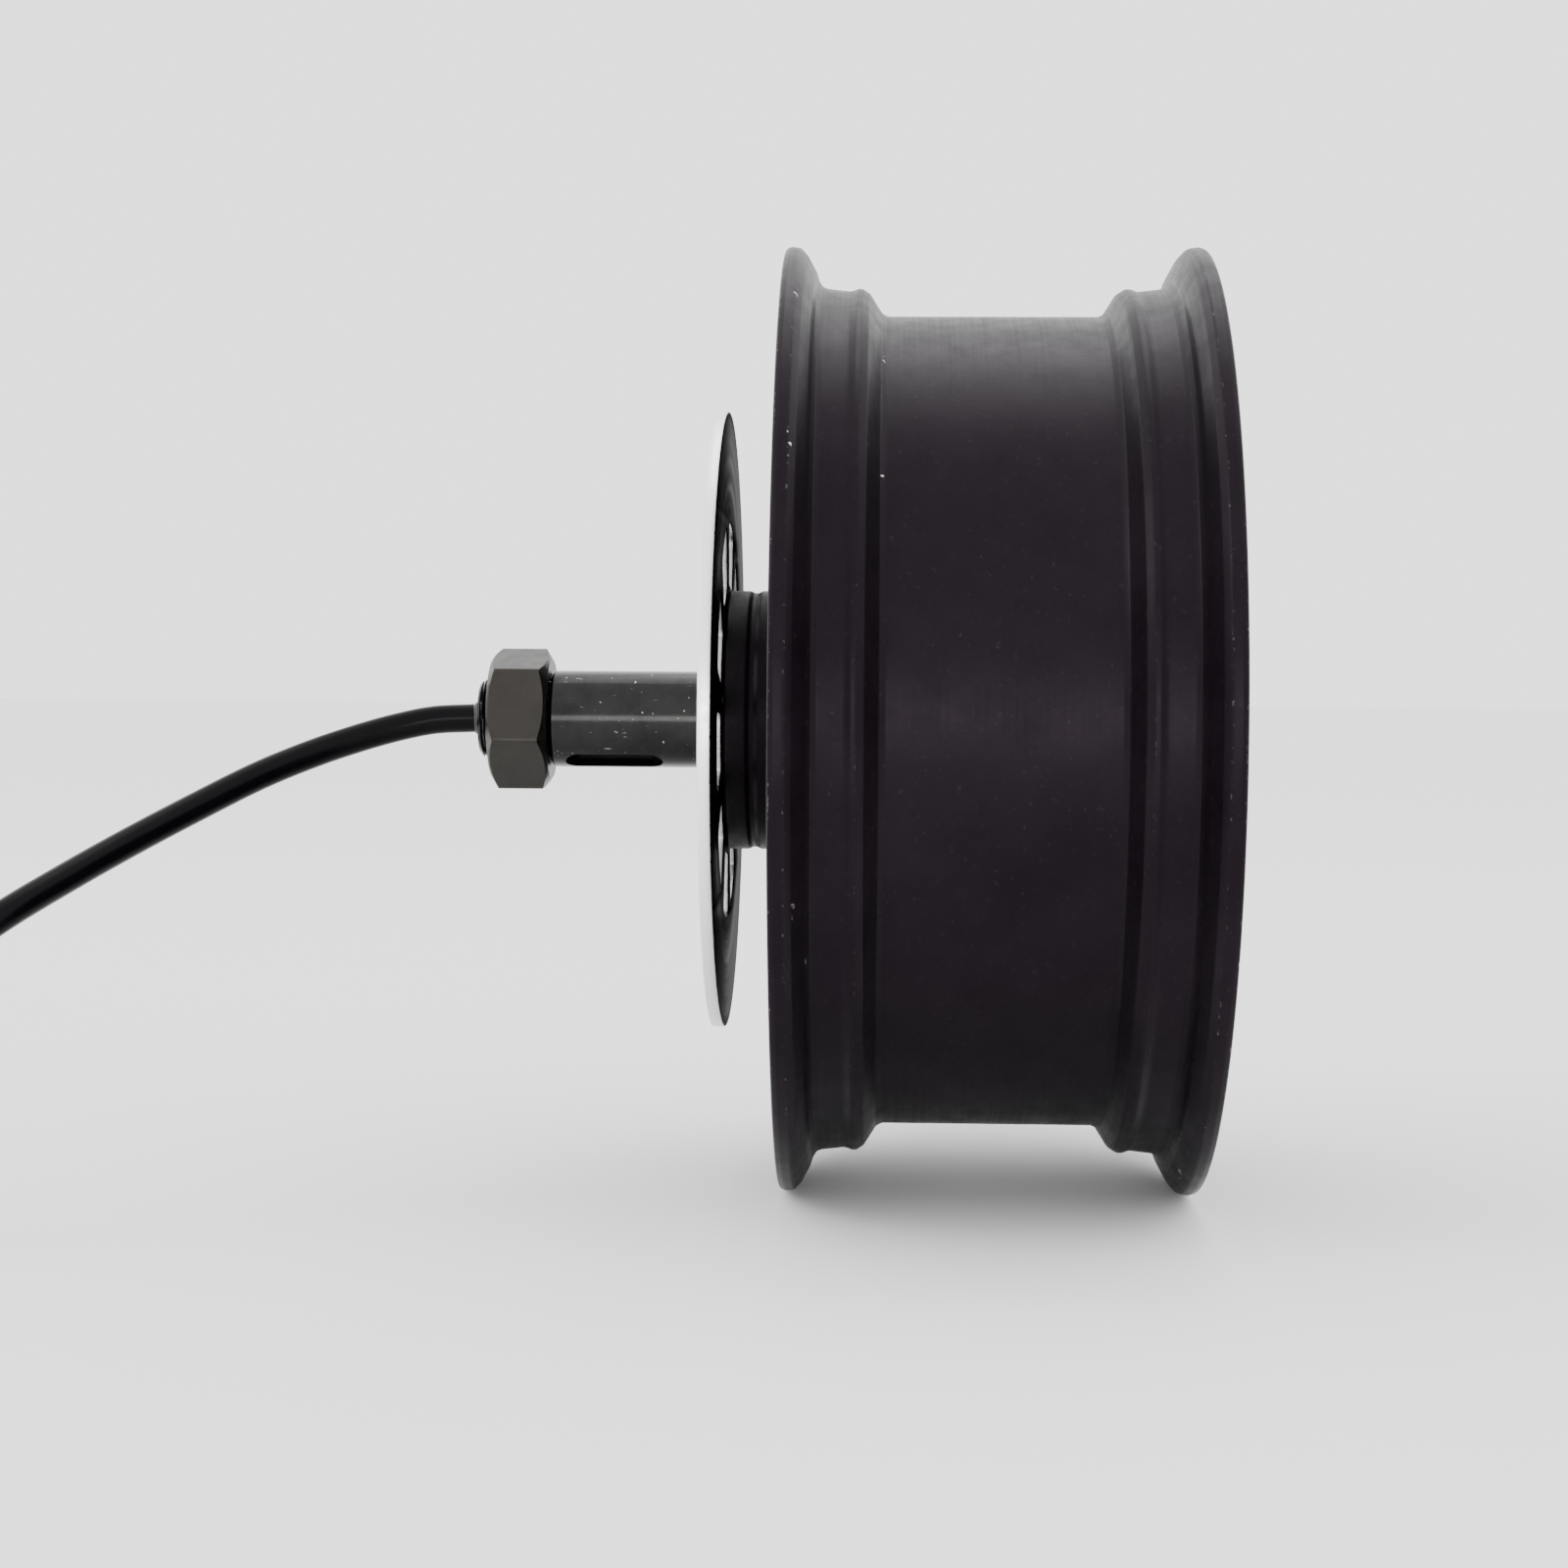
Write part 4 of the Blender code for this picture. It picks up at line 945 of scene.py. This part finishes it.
def make_disc():
    """A flat disc with chamfered edges, ten windows and six screw holes."""
    chamfer, outer = 0.0004, 0.1173
    face, thickness = -0.0991, 0.0046
    loops = [circle(outer - chamfer, 360), circle(0.0362 + chamfer, 128)]
    half = math.radians(12.5)
    for k in range(10):
        middle = math.radians(9.3) + 2 * math.pi * k / 10
        corners = []
        shares = [-1, -0.5, 0, 0.5, 1]
        for radius, order in ((0.076, shares), (0.051, shares[::-1])):
            for share in order:
                corner = 0.0042 if abs(share) == 1 else 0.0
                corners.append((*polar(radius, middle + share * half), corner))
        loops.append([tuple(p) for p in rounded(corners, 6)])
    for k in range(6):
        across, up = polar(DISC_SCREW_CIRCLE, -math.radians(10.0 + 60.0 * k))
        loops.append([(across + x, up + y) for x, y in circle(0.0034, 32)])
    curve = bpy.data.curves.new("disc_outline", "CURVE")
    curve.dimensions = "2D"
    curve.fill_mode = "BOTH"
    curve.extrude = thickness / 2 - chamfer
    curve.bevel_depth = chamfer
    curve.bevel_resolution = 1
    for loop in loops:
        spline = curve.splines.new("POLY")
        spline.points.add(len(loop) - 1)
        for point, (x, y) in zip(spline.points, loop):
            point.co = (x, y, 0.0, 1.0)
        spline.use_cyclic_u = True
    guide = add_object("disc_guide", curve)
    mesh = bpy.data.meshes.new_from_object(guide.evaluated_get(bpy.context.evaluated_depsgraph_get()))
    bpy.data.objects.remove(guide, do_unlink=True)
    shape = bmesh.new()
    shape.from_mesh(mesh)
    bmesh.ops.remove_doubles(shape, verts=shape.verts, dist=0.00001)
    shape.to_mesh(mesh)
    shape.free()
    mesh.transform(on_axle(1, face - thickness / 2))
    made = piece("slotted_disc", smooth(mesh, 25.0), disc_faces(), "wheel", ("brake_disc",))
    made.data.materials.append(disc_edge())
    for polygon in made.data.polygons:
        centre = polygon.center
        on_edge = math.hypot(centre.x, centre.z) > outer - 0.0005
        if on_edge or abs(polygon.normal.y) < 0.3:
            polygon.material_index = 1


# Valve and seal.

def make_valve():
    lean = math.atan2(0.0073, 0.0046)
    origin = Vector((-0.1575, MID_PLANE + 0.0437, 0.0))
    along = Vector((math.cos(lean), math.sin(lean), 0.0))
    place = Matrix.Translation(origin) @ along.to_track_quat("Z", "Y").to_matrix().to_4x4()
    stem = [
        (0.0001, -0.0036), (0.0054, -0.0034, 0.0006), (0.0063, -0.0014, 0.0006), (0.0045, -0.0009, 0.0004),
        (0.004, 0.0004, 0.0006), (0.0044, 0.0022, 0.001), (0.0039, 0.0048, 0.002), (0.0037, 0.015, 0.001),
        (0.0027, 0.0165, 0.0005), (0.0026, 0.025), (0.0001, 0.025),
    ]
    rubber = soft_black("valve_rubber", (0.014, 0.014, 0.015), (0.06, 0.058, 0.055), 0.5, 0.7, 1300.0)
    mesh = lathe_mesh("valve_body", rounded(stem, 4, False), 48, False, place=place)
    piece("valve_body", mesh, rubber, "wheel", ("valve_stem",))
    rings = []
    for radius, height, knurl in (
        (0.0031, 0.0173, 0.0), (0.0038, 0.0175, 0.0), (0.004, 0.018, 1.0), (0.004, 0.0272, 1.0),
        (0.0038, 0.0281, 0.5), (0.0031, 0.029, 0.0), (0.0015, 0.0294, 0.0),
    ):
        ring = []
        for i in range(96):
            angle = 2 * math.pi * i / 96
            r = radius - 0.00028 * knurl * (1 + math.cos(24 * angle)) / 2
            ring.append(place @ Vector((*polar(r, angle), height)))
        rings.append(ring)
    cap = plastic("valve_cap_look", (0.018, 0.018, 0.019), 0.35, 0.55)
    piece("knurled_cap", loft_mesh("knurled_cap", rings, 40.0), cap, "wheel", ("valve_cap",))


def make_seal(rubber):
    line = [
        (0.0297, -0.094, 0.0004), (0.031, -0.0946, 0.0004), (0.031, -0.102, 0.0004),
        (0.029, -0.102, 0.0006), (0.0276, -0.1004, 0.0008), (0.0258, -0.1018, 0.0006),
        (0.0244, -0.102, 0.0003), (0.0252, -0.1003, 0.0006), (0.0244, -0.0992, 0.0003),
        (0.0262, -0.0975, 0.001), (0.025, -0.094, 0.0004),
    ]
    mesh = lathe_mesh("lip_seal", rounded(line, 3), FINE)
    piece("lip_seal", mesh, rubber, "wheel", ("oil_seal",))


# Axle.

def thread_mesh(name, major, minor, start, finish, pitch, inner):
    """A helical thread with a chamfered free end, and the bore's wall inside it."""
    sides = FINE
    rings = []
    rows = 64
    for j in range(rows + 1):
        station = start + (finish - start) * j / rows
        ring = []
        for i in range(sides):
            turn = i / sides
            phase = (station / pitch + turn) % 1.0
            height = min(1.0, max(0.0, 1.6 * abs(2 * phase - 1) - 0.25))
            r = minor + (major - minor) * height
            r = min(r, major - 0.0013 + (station - finish))
            x, z = polar(r, 2 * math.pi * turn)
            ring.append(Vector((x, MID_PLANE + station, z)))
        rings.append(ring)
    for radius, station in ((inner + 0.0008, finish), (inner, finish + 0.0008), (inner, start)):
        rings.append([Vector((radius * x, MID_PLANE + station, radius * z)) for x, z in circle(1.0, sides)])
    return hoop_mesh(name, rings, 40.0)


def keyway_cutter():
    """A round-ended slot, with a small chamfer at its mouth."""
    outward_angle = math.radians(-62)
    outward = Vector((math.cos(outward_angle), 0.0, math.sin(outward_angle)))
    across = outward.cross(Vector((0, 1, 0)))
    centre = Vector((0.0, MID_PLANE - 0.1423, 0.0))
    rings = []
    for depth, grow in ((0.0135, 0.0), (0.018, 0.0), (0.019, 0.0006), (0.022, 0.0006)):
        ring = []
        for end in (1, -1):
            for i in range(17):
                angle = math.pi * (i / 16 - 0.5) + (0 if end > 0 else math.pi)
                a = end * 0.0133 + (0.005 + grow) * math.cos(angle)
                b = (0.005 + grow) * math.sin(angle)
                ring.append(centre + outward * depth + Vector((0, 1, 0)) * a + across * b)
        rings.append(ring)
    return loft_mesh("keyway", rings)


def make_axle():
    outline = [
        (0.0002, 0.0688), (0.0142, 0.0688), (0.015, 0.068), (0.015, 0.0498), (0.0174, 0.0498),
        (0.018, 0.0492), (0.018, 0.034), (0.0219, 0.034), (0.0225, 0.0334), (0.0225, -0.0305),
        (0.025, -0.0305), (0.025, -0.038), (0.023, -0.038), (0.023, -0.0647), (0.02, -0.0647),
        (0.02, -0.0801), (0.0185, -0.0801), (0.0185, -0.1655, 0.0004), (0.0172, -0.1668, 0.0004),
        (0.0139, -0.1668), (0.0139, -0.19), (0.007, -0.19), (0.007, -0.036), (0.0002, -0.036),
    ]
    body = lathe_mesh("axle_body", divided(rounded(outline, 3), 0.004), 192)
    low, high = (-0.004, MID_PLANE - 0.054, 0.0015), (0.004, MID_PLANE - 0.038, 0.032)
    slot = box_piece_mesh("lead_slot", low, high, 0.0008)
    body = cut(body, [keyway_cutter(), slot])
    dark, light = (0.0115, 0.0115, 0.012), (0.024, 0.0236, 0.0232)
    look = turned_steel("shaft_look", dark, light, 0.1, 0.18, "along", 0.92, 0.9)
    thread = thread_mesh("axle_thread", 0.0149, 0.014, -0.1672, -0.1943, 0.0015, 0.007)
    mesh = smooth(joined_mesh("axle_mesh", [body, thread]))
    piece("keyed_axle", mesh, look, "axle", ("axle_shaft",))


def make_spacer():
    outline = [
        (0.0188, -0.0804), (0.0236, -0.0804, 0.0004), (0.024, -0.0808, 0.0004), (0.024, -0.1072, 0.0004),
        (0.0232, -0.108, 0.0004), (0.0192, -0.108, 0.0003), (0.0188, -0.1076),
    ]
    look = turned_steel("spacer_look", (0.5, 0.5, 0.49), (0.66, 0.65, 0.63), 0.16, 0.3, "along")
    mesh = lathe_mesh("turned_spacer", divided(rounded(outline, 3), 0.003), 128)
    piece("turned_spacer", mesh, look, "axle", ("axle_spacer",))


def make_nut():
    """A double-chamfered hexagon nut. The chamfers cut the flats in arcs."""
    left, right = -0.1898, -0.1671
    middle, half = (left + right) / 2, (right - left) / 2
    flats, face, count = 0.048, 0.0228, 360
    turn = math.radians(-12.5)
    slope = math.tan(math.radians(30))
    place = on_axle(1, middle)
    sides = []
    for x, y in hexagon(flats, count, math.pi / 6):
        radius = math.hypot(x, y)
        angle = math.atan2(y, x) + turn - math.pi / 2
        sides.append((radius, angle))
    blunt = flats / 2 / math.cos(math.pi / 6) - 0.0005 * 0.4

    def section(r):
        """(radius, height over the nut's middle) of five points from the bore out to the flat."""
        slant = half - (r - face) * slope
        yield 0.0153, half - 0.0016
        yield 0.017, half
        yield face, half
        yield r - 0.0002, slant
        yield min(r, blunt), slant - 0.0003

    rings = []
    for sign, steps in ((-1, (0, 1, 2, 3, 4)), (1, (4, 3, 2, 1, 0))):
        for step in steps:
            ring = []
            for r, angle in sides:
                radius, height = list(section(r))[step]
                ring.append(place @ Vector((*polar(radius, angle), sign * height)))
            rings.append(ring)
    mesh = hoop_mesh("nut", rings, 26.0)
    dark, light = (0.0118, 0.0108, 0.0096), (0.0205, 0.0188, 0.0167)
    look = plain_metal("nut_look", dark, light, 0.28, 0.42, 900.0, 0.85)
    piece("hexagon_nut", mesh, look, "axle", ("axle_nut",))


def make_grommet():
    """A moulded collar that grips the cable at the mouth of the axle's bore."""
    outline = [
        (0.0056, -0.186), (0.0067, -0.186), (0.0067, -0.194, 0.0004), (0.0064, -0.1946, 0.0004),
        (0.0063, -0.1954, 0.0003), (0.0061, -0.1958, 0.0002), (0.006, -0.1965, 0.0003), (0.0056, -0.1966),
    ]
    look = soft_black("grommet_look", (0.012, 0.012, 0.013), (0.045, 0.045, 0.044), 0.38, 0.58, 1200.0)
    mesh = lathe_mesh("cable_collar", rounded(outline, 3), 64)
    piece("cable_collar", mesh, look, "axle", ("cable_grommet",))
    return look


# Pieces inside the motor and the bearings keep their plain shapes.

def dress(look, *names):
    for name in names:
        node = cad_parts[name]
        node.data.materials.clear()
        node.data.materials.append(look)


def dress_inner_pieces(rubber):
    ground = turned_steel("race_look", (0.58, 0.58, 0.59), (0.72, 0.72, 0.72), 0.08, 0.2, "along")
    dress(ground, "bearing_inner_left", "bearing_inner_right", "bearing_outer_left", "bearing_outer_right")
    cage = plain_metal("cage_look", (0.5, 0.47, 0.41), (0.62, 0.59, 0.52), 0.22, 0.4)
    dress(cage, "ball_cage_left", "ball_cage_right")
    dress(rubber, "left_o_ring", "right_o_ring")
    sheets = laminated("lamination_look", (0.2, 0.21, 0.23), (0.36, 0.37, 0.4))
    dress(sheets, "stator_core", "rotor_yoke")
    dress(plain_metal("magnet_look", (0.42, 0.42, 0.42), (0.55, 0.55, 0.54), 0.22, 0.36), "magnet_ring")
    dress(winding_look(), "stator_winding")
    alloy = turned_steel("carrier_look", (0.55, 0.56, 0.57), (0.68, 0.69, 0.7), 0.26, 0.42, "radius")
    dress(alloy, "stator_carrier")
    dress(board_look(), "hall_sensor_board")
    dress(soft_black("inner_lead_look", (0.014, 0.014, 0.016), (0.04, 0.04, 0.04), 0.35, 0.5), "inner_leads")


# Studio.

def make_floor():
    """A round pale floor that runs to the horizon."""
    shape = bmesh.new()
    centre = Matrix.Translation((0, MID_PLANE, FLOOR - 0.0001))
    bmesh.ops.create_circle(shape, cap_ends=True, segments=128, radius=60.0, matrix=centre)
    mesh = bpy.data.meshes.new("studio_floor")
    shape.to_mesh(mesh)
    shape.free()
    look = Surface("studio_paper", (0.9, 0.9, 0.9), 0.9, Specular_IOR_Level=0.1)
    look.set("Base Color", look.mix(look.noise(3.0), (0.9, 0.9, 0.9), (0.915, 0.915, 0.912)))
    mesh.materials.append(look.material)
    floor = add_object("studio_floor", mesh)


def area_light(name, place, aim, size, power):
    data = bpy.data.lights.new(name, "AREA")
    data.shape = "RECTANGLE"
    data.size, data.size_y = size
    data.energy = power
    lamp = add_object(name, data)
    lamp.location = place
    lamp.rotation_euler = (Vector(aim) - Vector(place)).to_track_quat("-Z", "Y").to_euler()


def make_lights():
    world = bpy.data.worlds.new("studio")
    world.use_nodes = True
    background = world.node_tree.nodes["Background"]
    background.inputs["Color"].default_value = (1.0, 1.0, 1.0, 1.0)
    background.inputs["Strength"].default_value = 2.3
    bpy.context.scene.world = world
    middle = (0.0, 0.05, 0.0)
    area_light("top_panel", (-0.9, 0.25, 2.3), middle, (1.2, 1.6), 12.0)
    area_light("left_panel", (0.9, -2.4, 1.6), middle, (1.0, 1.2), 20.0)
    area_light("front_strip", (3.2, 0.0, 0.05), middle, (2.4, 0.8), 38.0)


make_rim()
make_covers()
make_screws()
make_disc()
make_valve()
make_axle()
make_spacer()
make_nut()
seal_rubber = make_grommet()
make_seal(seal_rubber)
dress_inner_pieces(seal_rubber)
make_floor()
make_lights()
